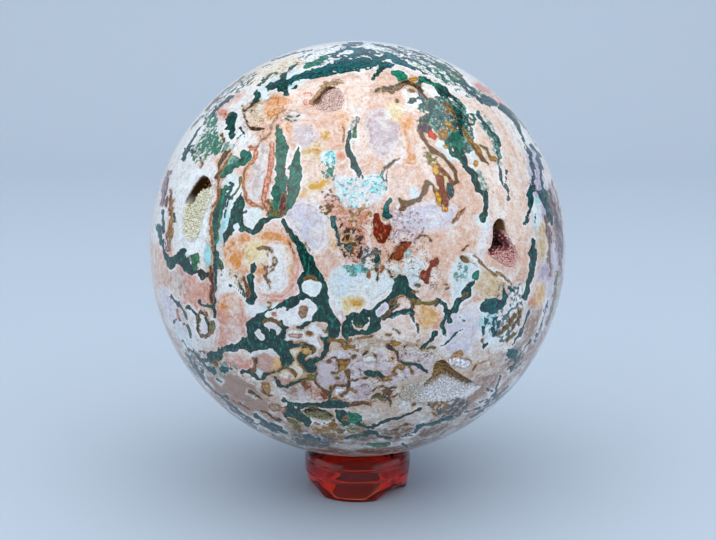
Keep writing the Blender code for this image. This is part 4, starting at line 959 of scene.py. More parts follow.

# %% [markdown]
# ## Iron and veins
#
# Iron turned to rust along old cracks and around the moss. It gives ochre rims, brown lines with a dark core
# and the two dark red crystals near the middle. Its edges are softer than the moss's. The plum and purple
# lines along the limbs are painted reflection, and the pale bump and tan dip above the lower pocket are
# painted light and shade.

# %% Rust, ochre, brown and red
RUST = {
    "left rust band": "brown w4>3 226,153 220,163 218,173",
    "left rust line": "terracotta w2 219,172 218,185 219,195 214,206 210,218 211,235 213,250",
    "rust around patch": "rose w3 s2 285,110 279,113 276,118 272,124 270,133 263,140 256,147 250,150",
    "nodule line": "salmon w4 s2 250,146 256,151 254,160 246,168 244,180 245,195 250,203 262,208",
    "salmon band": "rose w6 s2 272,143 271,165 268,180 265,192 264,200 268,208",
    "dark red in spikes": "maroon s2 281,192 285,196 286,212 281,213 279,204",
    "patch spots": "orangepeach s2 268,112 274,112 274,116 268,116 | 273,108 283,108 282,113 274,114",
    "red spot rim": "scarlet w3 s1 225,114 227,115",
    "olive streak": "olive w2.5 222,134 224,142",
    "brown dot": "brown w3 s1 201,163 201,167",
    "upper pocket brow": "tan w5>3 s2 312,103 317,96 322,89 330,84 338,82 343,83",
    "upper pocket brow dark": "brown w2 s1 318,95 323,88 330,85",
    "gold at arch": "gold w3 s1 411,79 416,79",
    "arch brown": "brown w2 409,83 414,86",
    "gold spots in moss": "gold w3.5 s1 447,125 449,125 | 441,134 443,134 | 452,128 454,130 | 444,146 446,148",
    "brown dot by arch": "brown w3 s1 396,101 398,101",
    "scarlet": "scarlet s1 427,132 432,131 436,135 436,140 431,138 427,135",
    "purple by scarlet": "purple s1 421,124 428,124 428,130 422,129",
    "grey brown streak": "brown w5>4 s1 420,131 424,138 430,147 436,152 441,156 448,162 453,169 457,177 457,183 "
                         "454,184",
    "orange streak": "ochre s1 463,126 466,131 470,137 476,144 481,150 486,161 488,165 484,162 478,154 472,146 "
                     "467,140 464,134",
    "gold brown lens": "brown s1 470,142 475,146 481,151 486,159 488,164 484,163 478,156 472,149",
    "olive gold": "ochre s1 491,156 497,157 496,162 491,161",
    "olive thread": "olive w2 480,145 487,150 490,158",
    "yellow tip": "gold s1 474,160 478,161 478,166 475,167",
    "claw": "brown 398,197 401,196 404,200 411,200 417,198 420,195 422,190 424,184 426,179 429,179 432,184 "
            "436,188 434,193 431,187 428,189 426,195 422,198 421,203 415,203 410,206 405,210 401,212 398,209 "
            "400,205 400,201",
    "rust claw": "rust 437,163 440,165 444,170 449,175 452,180 454,185 451,187 449,181 445,176 440,171 437,167",
    "orange brown claw": "rust 436,176 441,175 444,178 444,186 447,192 449,200 448,206 444,205 442,198 440,190 "
                         "438,184",
    "teal by claw": "teal 447,183 451,185 455,190 453,195 450,199 448,193 446,187",
    "olive claw": "olive s1 426,150 429,152 433,157 436,160 430,163 427,160",
    "yellow claw": "gold s2 430,163 437,165 441,174 434,175 | 435,188 440,192 442,206 437,204",
    "orange tail": "orange s3 440,204 448,206 447,213 441,211",
    "claw red": "red w2 s1 413,202 415,202",
    "red crystal": "red s1 373,215 377,212 380,217 383,222 386,226 390,222 392,226 391,231 387,237 384,243 "
                   "380,243 376,239 373,232 372,224",
    "second crystal": "rust s1 391,257 395,250 400,245 406,241 411,241 411,246 405,251 404,256 399,259 393,260",
    "third crystal": "red s1 437,257 440,258 439,263 436,266 433,270 431,275 429,279 430,283 426,284 422,281 "
                     "419,278 420,273 424,270 427,272 429,268 429,262 432,260",
    "arc over crystal": "slate w1.5 415,240 420,236 428,236 432,241",
    "rust by pocket": "tan w5>3 s2 453,222 458,215 464,209",
    "right pocket rim": "maroon w2.5 s1 488,250 492,252 496,248",
    "orange specks": "terracotta s1 380,264 384,265 383,274 380,272 | 367,271 371,273 371,279 367,278",
    "dark teal speck": "teal s1 374,254 379,256 379,263 375,262",
    "hook": "brown w2 371,269 375,268 377,272 378,276 377,280",
    "pit tail": "tan w3>1 s1 464,258 469,261 475,265",
    "brown fleck": "brown w2 463,250 468,245",
    "blue grey spot": "slate s1 413,285 416,283 421,284 423,286 420,288 416,287",
    "crack": "tan w2 475,256 481,263 488,270 496,276 | 496,273 504,277 512,283",
    "crescent rust": "rose w2 s1 343,128 344,135 343,142",
    "ring dot": "slate w4 s1 349,247 351,247",
    "nodule crack": "brown w1.3 256,248 262,245 268,248 272,256 273,264 270,268",
    "nodule curl": "clay w2.5 s1 268,266 264,270 265,278 270,282",
    "nodule arcs": "tan w1.3 s1 256,250 262,247 266,250 268,258",
    "pink line": "salmon w2 s1 288,240 294,254",
    "olive line": "olive w2 s1 305,243 310,250",
    "hexagon ochre": "ochre w3 s1 306,279 311,278 316,279",
    "boomerang pink": "rose s1 271,312 276,311 276,316 272,316",
    "boomerang brown": "clay s2 299,307 306,305 307,317 301,320",
    "island brown": "dustpink s2 288,334 299,333 303,335 298,339 289,338",
    "island ochre": "ochre w2 s1 309,347 316,351 | 322,330 327,332",
    "ochre over island left": "ochre w2.5 s1 264,322 272,320 280,324",
    "nodule foot ochre": "ochre w2 s1 268,302 272,304 268,307",
    "left seam pink": "salmon w2 s1 211,285 211,303",
    "loop rust": "terracotta w2 s1 203,310 208,317 212,324 211,333 205,338",
    "left rim salmon": "salmon w2.5 s1 177,309 179,319",
    "left rim rust": "rust w3 s1 171,190 170,215 | 168,198 166,206",
    # plum and purple along both limbs: painted reflection of the surroundings
    "left rim plum": "plum w4 s1 170,172 166,180 164,190 162,205",
    "left rim mauve": "plum w4 s1 168,235 168,250",
    "right rim purple": "purple w3 s1 549,190 555,210 559,228 | 560,226 562,240 562,258",
    "right rim line": "plum w2 s1 550,226 551,242 | 551,252 550,276",
    "web ochre tips": "ochre w3 s1 413,291 418,292 | 414,300 420,300 | 342,342 348,343 352,339",
    "right crack brown": "brown w2 s1 462,298 466,295",
    "tongue outline": "ochre w2 s1 413,302 420,303 428,304 435,304",
    "right olive brown": "brown w3 s1 515,314 510,320 505,326 503,331",
    "right brown threads": "brown w2 s1 519,308 519,314 | 519,320 519,326 | 512,338 518,332",
    "red in ring": "blush w2.5 s1 360,327 363,328",
    "ochre blotch": "ochre s1 390,342 393,340 396,342 399,342 400,344 396,346 392,345",
    "ochre twin": "ochre w2.5 s1 386,334 392,336",
    "short brown": "umber w1.2 408,344 405,350 407,354 | 394,330 400,333",
    "olive low left": "olive s1 308,374 316,375 315,380 309,380",
    "pink low": "mauvebrown s3 268,404 281,404 282,411 272,412",
    "red low": "rose s2 281,407 287,408 285,413 281,412",
    "ochre by slot": "ochre w3 s1 344,419 347,419 | 359,431 362,432",
    "brown low": "brown w2 s1 391,431 397,429 403,425 410,425",
    "rust specks low": "tan w3 s2 433,404 438,406 | 440,402 448,405 | 432,412 437,416 | 444,410 446,412",
    # painted light on a bump and painted shade in a dip, above the lower pocket
    "grey bump": "milk s2 448,358 460,357 472,361 468,368 454,368",
    "ochre dip": "tan s2 450,359 455,352 462,350 463,355 456,361",
    "brown threads right": "brown w1.5 s1 478,362 473,370 | 492,361 491,366",
    "pink tip left": "rust s1 214,361 218,362 218,366 214,366",
    "orange edge left": "terracotta w2.5 s1 252,358 255,364 253,370",
    "dark edge left": "umber w2 255,357 257,364 254,372",
    "spot low right": "umber w2 413,405 415,405",
    "ochre corner": "ochre w3 s1 302,411 306,413 | 330,424 336,425",
    "foot brown": "tan w4 s2 318,430 330,428 342,432",
    "brown stripes": "umber w1.8 229,151 223,160 218,170 216,178 | 224,154 219,162",
    "tan stripe": "tan w2 232,153 226,162 221,172",
    "dark round the patch": "umber w2.5 244,111 246,120 250,127 258,130 264,129",
    "rim lines left": "brown w1.5 214,100 228,88 244,76 | 206,110 218,98",
    "left rim brown": "maroon w3 s1 168,172 166,188 163,204",
    "left rim tan": "tan w4 s1 172,200 171,225 169,248",
    "spike foot olive": "olive w4 s1 268,200 272,212 280,214",
    "spike foot dark": "umber w2 266,215 272,208",
    "line into cyan": "brown w1.6 398,158 390,164 384,168",
    # plum along the right limb: painted reflection of the surroundings
    "rim lines right": "plum w2 550,200 556,225 560,250 562,280 | 545,215 549,240 548,262",
    "rim lines right two": "brown w1.5 552,180 558,200 562,226",
    "seam maroon": "maroon w3 211,266 212,284 211,302",
    "narrow spike rust": "rust w3 s1 244,277 247,288 248,297",
    "twisted": "umber w2.5 262,411 268,414 273,418 280,420",
    "thin lines low right": "brown w1.4 473,370 480,363 490,360 | 491,361 492,367",
    "line low left": "umber w2 248,392 254,394 260,397",
    "streaks low left": "rust w2 s1 234,400 242,406 250,409",
    "dash by the crack": "umber w3.5 461,257 468,261",
    "rust by right pocket": "rust w4>2 s1 453,221 458,214 465,208",
    "dot ring": "brown w2 444,286 447,284 449,288 446,289",
    "nodule arcs brown": "clay w1.4 258,250 266,247 273,252 276,262 272,270 266,275 | 262,264 267,270 266,280 271,288",
    "web under brown": "brown w2 383,317 391,311 399,304",
    "arch end": "umber w3 412,84 418,88 423,93 426,99",
    "arch start": "umber w3 376,91 382,88 388,88 394,87 400,83 408,82",
    "dot in the cell": "umber w3 410,89 413,91",
    "upper pocket foot": "rust w3>2 s1 313,104 316,99 319,95",
    "pocket top freckles": "tan w4 s3 322,86 332,82 342,82",
    "ring in the mass": "gold w1.8 440,131 445,131 447,136 443,139 439,136 440,131",
    "red lip of the mass": "rust w2.5 450,400 456,394",
    "slot edge": "umber w2 304,411 309,408 317,408 325,411",
    "slot right": "brown w4 s1 326,413 332,417 334,421",
    "olive by the slot": "olive w5 s1 289,420 296,424 300,430",
    "rim of the lower edge": "umber w1.6 270,436 290,446 312,451",
    "second window": "brown w2 391,304 396,299 404,298 410,301 413,307",
    "tongue edge": "olive w3 412,303 424,304 436,302",
    "loop inner": "umber w2 199,312 198,322 199,332 205,336",
    "olive streaks right": "olive w3 500,334 508,326 516,315 | 506,342 514,334",
    "brown streaks right": "brown w2.5 512,330 518,319 522,309",
    "olive on the rim": "olive w3 s1 557,272 554,298 547,324",
    # dark purple line on the right limb: painted reflection of the surroundings
    "dark purple on the rim": "maroon w2.5 s1 561,228 562,246 560,264",
    "scarlet in the mass": "scarlet s1 428,131 433,130 437,136 434,140 429,136",
    "brown crumbs in the mass": "brown w2 444,104 450,107 447,112 | 452,112 456,118",
    "gold crumbs in the mass": "gold w2 449,109 451,110 | 446,124 450,124",
    "dark purple crumbs": "purple w4 419,126 424,130 430,129",
    "second crystal lines": "umber w1.4 391,258 394,250 400,244 406,241 | 399,256 405,249 411,242 | 394,259 401,260",
    "red crystal lines": "maroon w1.4 376,216 379,224 384,232 | 386,240 390,232 390,226",
    "Y blob": "ochre 337,361 343,360 350,360 349,363 346,367 343,370 340,371 338,368 340,365 338,363",
    "Y foot": "olive w2.5 343,367 340,371 336,373 331,372",
    "Y bar": "brown w1.6 336,361 343,360 350,359",
    "arc over the Y": "umber w2.5>1.5 331,358 334,358 337,361 338,365 340,367",
    "dots round the Y": "umber w3 328,362 329,362 | 353,358 355,357 | 336,379 338,379",
    "clot by the cell": "umber w4 347,371 348,373 349,376",
    "post": "umber w3 349,377 349,383 347,389",
    "arc over the white cell": "brown w2 333,391 335,387 340,385 347,384",
    "foot of the post": "rust w3 s1 341,396 345,394 349,390 | 333,398 337,399",
    "blot by the post": "tan w3.5 s1 351,389 354,391 356,392",
    "line to the lens": "umber w1.6 350,380 355,380 361,378 368,377",
    "star": "umber w2 362,356 364,353 367,351 | 366,353 370,353 373,354 376,358",
    "ochre under the web": "ochre w4 s1 330,340 336,341 341,341 | 342,345 345,348 | 350,347 354,347",
    "tan under the web": "tan w3 s2 357,338 366,338 373,336",
    "edge of the stripes": "brown w2.5 311,374 314,380 318,385 322,389 329,392",
    "stripes": "rust w1.6 s1 309,387 312,392 315,399 | 316,386 318,391 | 302,384 306,390 | 306,381 310,386",
    "end of the stripes": "rust s1 322,390 327,392 328,397 324,400 321,395",
    "start of the long line": "umber w4>3 387,345 391,348 395,351 397,355 398,360",
    "rust by the long line": "rust w2 s1 391,357 393,359 | 389,376 396,374 | 377,378 381,381",
    "crumbs under the long line": "ochre w3 s1 392,371 396,369 | 400,368 404,369 | 410,368 412,371 412,374 | 387,381 391,380",
    "tan under the long line": "tan w4 s2 384,380 390,376 396,373 | 398,366 405,367",
    "arc over the blob": "brown w2.2 373,391 378,387 384,386 388,388 391,390",
    "blob": "umber 384,391 387,389 391,391 390,394 386,394",
    "dashes by the blob": "umber w1.8 388,396 393,396 397,395 | 390,387 396,386",
    "lens fill": "olive s1 371,400 374,396 379,395 384,397 388,401 383,401 377,399",
    "lens arc": "umber w2 370,400 374,395 380,394 386,397 390,401 390,406",
    "bar": "brown w4 352,404 362,403 369,404",
    "dark bean": "umber s1 289,368 293,369 297,373 297,377 294,378 291,374",
    "oval top": "brown w2 s1 281,370 285,367 289,369",
    "crack in the neck": "brown w1.4 300,365 302,369 304,372",
    "arc over the ochre": "umber w2 301,344 308,345 313,350",
    "small brown cell": "tan s2 263,382 268,382 271,387 270,393 265,394 262,388",
    "small brown cell core": "rust w3 s2 266,385 267,389",
    "small brown cell rim": "brown w1.6 262,384 263,391 267,396 273,396",
    "blot in the stripes": "rust w4 s2 304,383 306,387",
    "line on the left": "umber w1.8 248,391 256,394 262,399",
}
# where iron has soaked the stone, every seam and every edge of moss is brown instead of white
STAINED = {
    "lower centre": "rust s10 300,330 340,336 400,334 436,350 428,386 404,402 372,412 330,404 300,392 268,384 "
                    "262,366 290,352",
    "islands in the web": "rust s5 284,330 320,326 330,340 318,356 296,352",
    "crystals": "rust s8 340,214 392,206 412,236 440,252 438,290 410,284 372,276 338,256",
    "arch": "rust s4 376,86 414,78 420,92 382,100",
    "patch": "rust s5 244,102 286,96 300,116 270,140 246,132",
    "left seam": "rust s4 214,150 230,150 222,210 216,306 206,306 208,214",
}
print(len(RUST), "rust entries,", len(STAINED), "stained places")

# %% [markdown]
# ## Putting the drawing on the ball
#
# Each layer becomes two values at every point of the ball: how deep the point lies inside that layer's
# shapes, in millimetres, and the tint of the shape it lies in. The far side can't be seen in the photograph,
# so it repeats the same stone twice more, turned and mirrored about axes 120 degrees apart. Where one repeat
# gives way to the next its shapes shrink to nothing, so no vein is cut off.

# %% From entries to layers
FAR_MM = -6.0
REACH_PX = 17.0
BANDED_PX = 8.0


def read_entry(text):
    """Tint, options and point lists of an entry such as 'deep w3>2 10,20 30,40 | 50,60 70,80'."""
    words = text.split()
    options = {w[0]: w[1:] for w in words[1:] if w[0] in "wshd" and "," not in w}
    parts = " ".join(w for w in words[1:] if "," in w or w == "|").split("|")
    return words[0], options, [np.array([[float(n) for n in p.split(",")] for p in part.split()]) for part in parts]


def depth_in(pixels, points, width, reach):
    """Indices of the places near a shape and their depth inside it in mm. For a stroke the depth is half the
    width, which may change from end to end, less the distance to its middle line."""
    line = smooth_curve(points, width is None, 1.5)
    low, high = line.min(0) - reach, line.max(0) + reach
    near = np.flatnonzero(((pixels > low) & (pixels < high)).all(1))
    if not len(near):
        return near, np.zeros(0)
    away, foot, at = distance_to_line(pixels[near], line, width is None)
    if width is None:
        return near, np.where(inside(pixels[near], line), away, -away) / PX_PER_MM
    ends = [float(w) for w in width.split(">")]
    along = at / max(len(line) - 1, 1)
    return near, ((ends[0] + (ends[-1] - ends[0]) * along) / 2 - away) / PX_PER_MM


def draw_layer(pixels, entries, start, windows=None):
    """Depth and tint of one layer at each place. windows collects the entries that cut the layer."""
    depth = np.full(len(pixels), FAR_MM)
    tint = np.tile(linear(TINTS[start]), (len(pixels), 1))
    for text in entries.values():
        name, options, parts = read_entry(text)
        for points in parts:
            near, here = depth_in(pixels, points, options.get("w"), REACH_PX)
            if "h" in options:
                depth[near] = np.minimum(depth[near], -here)
                windows.append((near, here, linear(TINTS[name])))
                continue
            here = np.minimum(here - float(options.get("s", 0)) * 0.1, float(options.get("d", 9)))
            better = here > depth[near]
            depth[near[better]] = here[better]
            tint[near[better]] = linear(TINTS[name])
    return depth, tint


def draw_ground(pixels):
    """The soft patches, each laid over the last with an edge that fades over its own width, and the distance
    in mm to the nearest edge of a patch that shows."""
    colour = np.tile(linear(TINTS["peach"]), (len(pixels), 1))
    rim = np.full(len(pixels), 9.0)
    for text in GROUND.values():
        name, options, parts = read_entry(text)
        fade = float(options.get("s", 3))
        for points in parts:
            near, here = depth_in(pixels, points, options.get("w"), REACH_PX + fade)
            cover = smoothstep(-fade, fade, here * PX_PER_MM)[:, None]
            colour[near] = colour[near] * (1 - cover) + linear(TINTS[name]) * cover
            if fade <= BANDED_PX:
                rim[near] = np.where(here > 0, here, np.minimum(rim[near], -here))
    return colour, rim


def draw_stain(pixels):
    """Share of iron stain at each place, from 0 to 1, with a wide soft edge."""
    stained = np.zeros(len(pixels))
    for text in STAINED.values():
        _, options, (points,) = read_entry(text)
        fade = float(options["s"])
        near, here = depth_in(pixels, points, options.get("w"), fade + 2)
        stained[near] = np.maximum(stained[near], smoothstep(-fade, fade, here * PX_PER_MM))
    return stained


# %% One front and two turned repeats
# azimuth and elevation of the repeat's middle, its turn in its own plane, and 1 or -1 for mirrored
REPEATS = [None, (122, -12, 95, -1), (-122, -12, -70, 1)]
HAND_OVER_DEG = 83.0


def repeat_directions(repeat):
    """The ball's points as the drawing sees them: the repeat's middle is brought in front of the camera."""
    if repeat is None:
        return ball_drawn
    azimuth, elevation, turn, side = repeat
    out, right, up = local_axes(azimuth, elevation)
    c, s = math.cos(math.radians(turn)), math.sin(math.radians(turn))
    x, y = ball_drawn @ right * side, ball_drawn @ up
    return np.outer(ball_drawn @ out, -TO_BALL) + np.outer(x * c - y * s, RIGHT) + np.outer(x * s + y * c, UP)


def ripples(places, size, seed, waves=40):
    """Smooth noise of variance 1 over places in mm: a sum of sine waves in random directions, each of them
    about size mm long."""
    rng = np.random.default_rng(seed)
    way = unit(rng.normal(size=(waves, 3))) * rng.uniform(0.75, 1.35, (waves, 1)) * 2 * math.pi / size
    return np.sin(places @ way.T + rng.uniform(0, 2 * math.pi, waves)).sum(1) * math.sqrt(2 / waves)


ball_drawn = unit(sphere_mm)
sway_px = PX_PER_MM * np.stack([0.16 * ripples(sphere_mm, 5.0, seed) + 0.14 * ripples(sphere_mm, 2.4, seed + 1)
                                for seed in (1, 3)], 1)
front_theta = np.degrees(np.arccos(np.clip(-ball_drawn @ TO_BALL, -1, 1)))
layers = {name: (np.full(len(ball_drawn), FAR_MM), np.zeros((len(ball_drawn), 3)))
          for name in ("quartz", "haze", "moss", "rust")}
stain = np.zeros(len(ball_drawn))
ground_sum = np.zeros((len(ball_drawn), 3))
ground_weight = np.full((len(ball_drawn), 1), 1e-9)
rim_mm = np.full(len(ball_drawn), 9.0)
for repeat in REPEATS:
    pixels, theta = chart_of(repeat_directions(repeat))
    theta = np.degrees(theta)
    loss = np.maximum(theta - HAND_OVER_DEG, 0) * 0.35
    if repeat is not None:
        loss += np.maximum(HAND_OVER_DEG - front_theta, 0) * 1.3
    live = np.flatnonzero(loss < 6)
    pixels, loss = pixels[live] + sway_px[live], loss[live]
    windows = []
    moss = draw_layer(pixels, {**MOSS_ABOVE, **MOSS_BELOW}, "deep", windows)
    drawn = {"moss": moss, "quartz": draw_layer(pixels, QUARTZ, "ice"),
             "haze": draw_layer(pixels, HAZE, "mist"), "rust": draw_layer(pixels, RUST, "rust")}
    for near, here, tint in windows:
        depth, colour = drawn["quartz"]
        better = here + 0.4 > depth[near]
        depth[near[better]] = here[better] + 0.4
        colour[near[better]] = tint
    for name, (depth, colour) in drawn.items():
        kept_depth, kept_colour = layers[name]
        better = depth - loss > kept_depth[live]
        kept_depth[live[better]] = (depth - loss)[better]
        kept_colour[live[better]] = colour[better]
    stain[live] = np.maximum(stain[live], draw_stain(pixels) * np.exp(-loss))
    weight = np.exp(-2.0 * loss)[:, None]
    colour, rim = draw_ground(pixels)
    ground_sum[live] += colour * weight
    rim_mm[live] = np.minimum(rim_mm[live], rim + loss)
    ground_weight[live] += weight
    print("drawn on", len(live), "points")
ground_colour = ground_sum / ground_weight

# %% [markdown]
# ## The ball's mesh
#
# One closed mesh holds the ball, its pockets and its pits, and carries the layers as attributes. Float
# attributes hold the depths and colour attributes the tints, so nothing here needs an image.

# %% Build the ball
def mesh_piece(name, points_mm, faces, smooth=True, offset=BALL_CENTRE):
    """An object at the origin whose mesh holds these points, in mm from the given centre."""
    mesh = bpy.data.meshes.new(name)
    mesh.from_pydata((points_mm * MM + offset).tolist(), [], faces)
    mesh.validate()
    mesh.update()
    mesh.polygons.foreach_set("use_smooth", [smooth] * len(mesh.polygons))
    item = bpy.data.objects.new(name, mesh)
    bpy.context.scene.collection.objects.link(item)
    return item


def set_numbers(item, name, values):
    """Stores one number at each point."""
    layer = item.data.attributes.new(name, "FLOAT", "POINT")
    layer.data.foreach_set("value", np.asarray(values, np.float32))


def set_colours(item, name, rgb):
    """Stores one linear colour at each point."""
    layer = item.data.attributes.new(name, "FLOAT_COLOR", "POINT")
    rgba = np.concatenate([rgb, np.ones((len(rgb), 1))], 1)
    layer.data.foreach_set("color", rgba.astype(np.float32).ravel())


ball = mesh_piece("polished_agate_ball", carved_mm, ball_quads.tolist())
ball.data.set_sharp_from_angle(angle=math.radians(48))
set_colours(ball, "ground_tint", ground_colour)
set_numbers(ball, "rim", rim_mm)
set_numbers(ball, "hollow", hollow_mm)
set_numbers(ball, "stain", stain)
for name, (depth, colour) in layers.items():
    set_numbers(ball, name, depth)
    set_colours(ball, name + "_tint", colour)
print("ball:", len(ball.data.vertices), "points,", len(ball.data.attributes), "attributes")

# %% [markdown]
# ## Polished agate
#
# Agate is quartz in crystals too small to see, so it takes a glassy polish: IOR 1.54 and a low roughness, with
# nothing metallic. All the interest is in its colour. The layers are mixed in the order they lie in the
# stone, and noise at real sizes breaks their edges: ragged moss at 1.5 mm, grain at 0.5 mm. In the pockets
# and pits the stone was never polished, so it turns rough there, and its brown there is iron stain with painted shade.

# %% A function that adds a node
def add(kind, inputs=(), **settings):
    """One node of the current tree with its settings. The inputs go to the live sockets in order, or by name
    where they are a dictionary: a number or colour is set, a socket or a node's first output is linked."""
    node = tree.nodes.new("ShaderNode" + kind)
    for key, value in settings.items():
        setattr(node, key, value)
    live = [socket for socket in node.inputs if socket.enabled]
    if isinstance(inputs, dict):
        pairs = [(next(s for s in live if s.name == key), value) for key, value in inputs.items()]
    else:
        pairs = zip(live, inputs)
    for socket, value in pairs:
        if isinstance(value, bpy.types.Node):
            value = next(s for s in value.outputs if s.enabled)
        if isinstance(value, bpy.types.NodeSocket):
            tree.links.new(value, socket)
        else:
            socket.default_value = value
    return node


def shade(code):
    """A hex colour as the four numbers a colour socket takes."""
    return (*linear(code), 1.0)


MIXED = {"data_type": "RGBA"}
TINTED = {"data_type": "RGBA", "blend_type": "MULTIPLY"}
EASED = {"interpolation_type": "SMOOTHSTEP"}

# %% The stone's grain
agate = bpy.data.materials.new("cut and polished moss agate")
agate.use_nodes = True
tree = agate.node_tree
tree.nodes.clear()
here = add("TexCoord").outputs["Object"]
held = {name: add("Attribute", attribute_name=name).outputs["Fac"]
        for name in ("hollow", "stain", "rim", "quartz", "haze", "moss", "rust")}
tints = {name: add("Attribute", attribute_name=name + "_tint").outputs["Color"]
         for name in ("ground", "quartz", "haze", "moss", "rust")}

# size of the largest blobs in mm, detail, roughness, distortion
GRAIN = {"cloud": (7.0, 4, 0.5, 0.0), "vein": (5.0, 3, 0.5, 0.8), "thread": (2.6, 2, 0.5, 0.6),
         "blotch": (2.2, 4, 0.6, 0.0), "ragged": (1.6, 5, 0.62, 0.0), "freckle": (0.9, 3, 0.6, 0.4),
         "grain": (0.5, 2, 0.5, 0.0), "sugar": (0.45, 1, 0.5, 0.0)}
noise = {name: add("TexNoise", (here, 1 / (size * MM), detail, rough, 2.0, twist))
         for name, (size, detail, rough, twist) in GRAIN.items()}
wobble = add("MapRange", (noise["ragged"], 0.3, 0.7, -1.0, 1.0))
print("noises", list(noise))

# %% The ground: clouds, blotches and freckles over its patches
colour = tints["ground"]
for name, low, high, share, way, tint in (
        ("cloud", 0.46, 0.66, 0.5, "MIX", "FCFAF8"), ("blotch", 0.5, 0.68, 0.55, "MULTIPLY", "E6CABC"),
        ("blotch", 0.46, 0.34, 0.4, "MIX", "EEF2F8"), ("freckle", 0.53, 0.66, 0.4, "MULTIPLY", "D6C4BC"),
        ("freckle", 0.46, 0.34, 0.3, "MIX", "F8F4F0")):
    share = add("MapRange", (noise[name], low, high, 0.0, share), **EASED)
    colour = add("Mix", (share, colour, shade(tint)), data_type="RGBA", blend_type=way)
sparkle = add("MapRange", (noise["grain"], 0.32, 0.68, 0.84, 1.12))
colour = add("Mix", (1.0, colour, sparkle), **TINTED)
print("ground nodes", len(tree.nodes))

# %% Fortification bands: sine waves of the distance to the nearest patch's edge
BAND_MM = 2.3
from_rim = add("Math", (wobble, 0.8, held["rim"]), operation="MULTIPLY_ADD")
turns = add("Math", (from_rim, 2 * math.pi / BAND_MM), operation="MULTIPLY")
band = add("Math", (turns,), operation="SINE")
near_rim = add("MapRange", (held["rim"], 0.4, 3.6, 1.0, 0.0), **EASED)
patchy = add("MapRange", (noise["vein"], 0.36, 0.62, 0.15, 1.0), **EASED)
near_rim = add("Math", (near_rim, patchy), operation="MULTIPLY")
for low, high, share, way, tint in ((0.1, 0.95, 0.4, "MIX", "FDFBF8"), (-0.1, -0.95, 0.5, "MULTIPLY", "DDB8A4")):
    share = add("MapRange", (band, low, high, 0.0, share), **EASED)
    share = add("Math", (share, near_rim), operation="MULTIPLY")
    colour = add("Mix", (share, colour, shade(tint)), data_type="RGBA", blend_type=way)

# %% Seams: the lines along which a noise crosses its middle value
strength = add("MapRange", (held["stain"], 0.0, 1.0, 0.25, 0.95))
seam_tint = add("Mix", (held["stain"], shade("7C8C92"), shade("5A3820")), **MIXED)
for name, thin, gaps in (("vein", 0.022, "blotch"), ("thread", 0.02, "cloud")):
    off_middle = add("Math", (noise[name], 0.5), operation="SUBTRACT")
    off_middle = add("Math", (off_middle,), operation="ABSOLUTE")
    line = add("MapRange", (off_middle, 0.0, thin, 1.0, 0.0), **EASED)
    for part in (add("MapRange", (noise[gaps], 0.44, 0.54), **EASED), strength):
        line = add("Math", (line, part), operation="MULTIPLY")
    colour = add("Mix", (line, colour, seam_tint), **MIXED)
print("seamed ground nodes", len(tree.nodes))

# %% [markdown]
# ### The layers over the ground
#
# Every layer is cut from its depth plus a little noise. Quartz gets a sugary sparkle, haze is broken into
# specks, and moss has a pale or rusty halo outside, a nearly black rim inside and a flecked middle. Rust
# comes last, with the softest edge.

# %% Quartz and haze
edge = {name: add("Math", (wobble, amount, held[name]), operation="MULTIPLY_ADD")
        for name, amount in (("quartz", 0.8), ("haze", 1.0), ("moss", 0.32), ("rust", 0.22))}
cover = add("MapRange", (edge["quartz"], -0.5, 0.5, 0.0, 0.92), **EASED)
sugar = add("MapRange", (noise["sugar"], 0.36, 0.64, 0.84, 1.1))
quartz = add("Mix", (1.0, tints["quartz"], sugar), **TINTED)
dull = add("MapRange", (noise["blotch"], 0.42, 0.66, 1.06, 0.8))
quartz = add("Mix", (1.0, quartz, dull), **TINTED)
colour = add("Mix", (cover, colour, quartz), **MIXED)
line = add("MapRange", (edge["quartz"], 0.0, 0.6, 1.0, 0.0), **EASED)
for part in (cover, held["stain"]):
    line = add("Math", (line, part), operation="MULTIPLY")
colour = add("Mix", (line, colour, shade("7E4E22")), **MIXED)

cover = add("MapRange", (edge["haze"], 0.0, 0.25, 0.0, 0.92), **EASED)
clear = add("MapRange", (held["haze"], -0.3, 0.5, 1.0, 0.0), **EASED)
specks = add("MapRange", (noise["freckle"], 0.38, 0.62, 0.3, 1.45))
haze = add("Mix", (1.0, tints["haze"], specks), **TINTED)
colour = add("Mix", (cover, colour, haze), **MIXED)

# %% Moss: halo, then flecks and a dark rim
halo_tint = add("Mix", (held["stain"], shade("FAFAFA"), shade("B0803E")), **MIXED)
halo = add("MapRange", (edge["moss"], -1.1, -0.1), **EASED)
patchy = add("MapRange", (noise["cloud"], 0.38, 0.6, 0.1, 0.7), **EASED)
for part in (patchy, clear):
    halo = add("Math", (halo, part), operation="MULTIPLY")
colour = add("Mix", (halo, colour, halo_tint), **MIXED)
mottle = add("MapRange", (noise["ragged"], 0.38, 0.62, 0.25, 1.7))
moss = add("Mix", (1.0, tints["moss"], mottle), **TINTED)
along = add("Mapping", (here, (0.0, 0.0, 0.0), (0.0, 0.0, 0.0), (1.0, 1.0, 0.4)))
fibre = add("TexNoise", (along, 1 / (0.8 * MM), 3, 0.6, 2.0, 0.3))
flecks = add("MapRange", (fibre, 0.54, 0.66, 0.0, 0.55), **EASED)
moss = add("Mix", (flecks, moss, shade("4E9C8A")), **MIXED)
rim = add("MapRange", (edge["moss"], 0.02, 0.45, 0.95, 0.0), **EASED)
moss = add("Mix", (rim, moss, shade("041C20")), **MIXED)
cover = add("MapRange", (edge["moss"], -0.1, 0.1), **EASED)
colour = add("Mix", (cover, colour, moss), **MIXED)

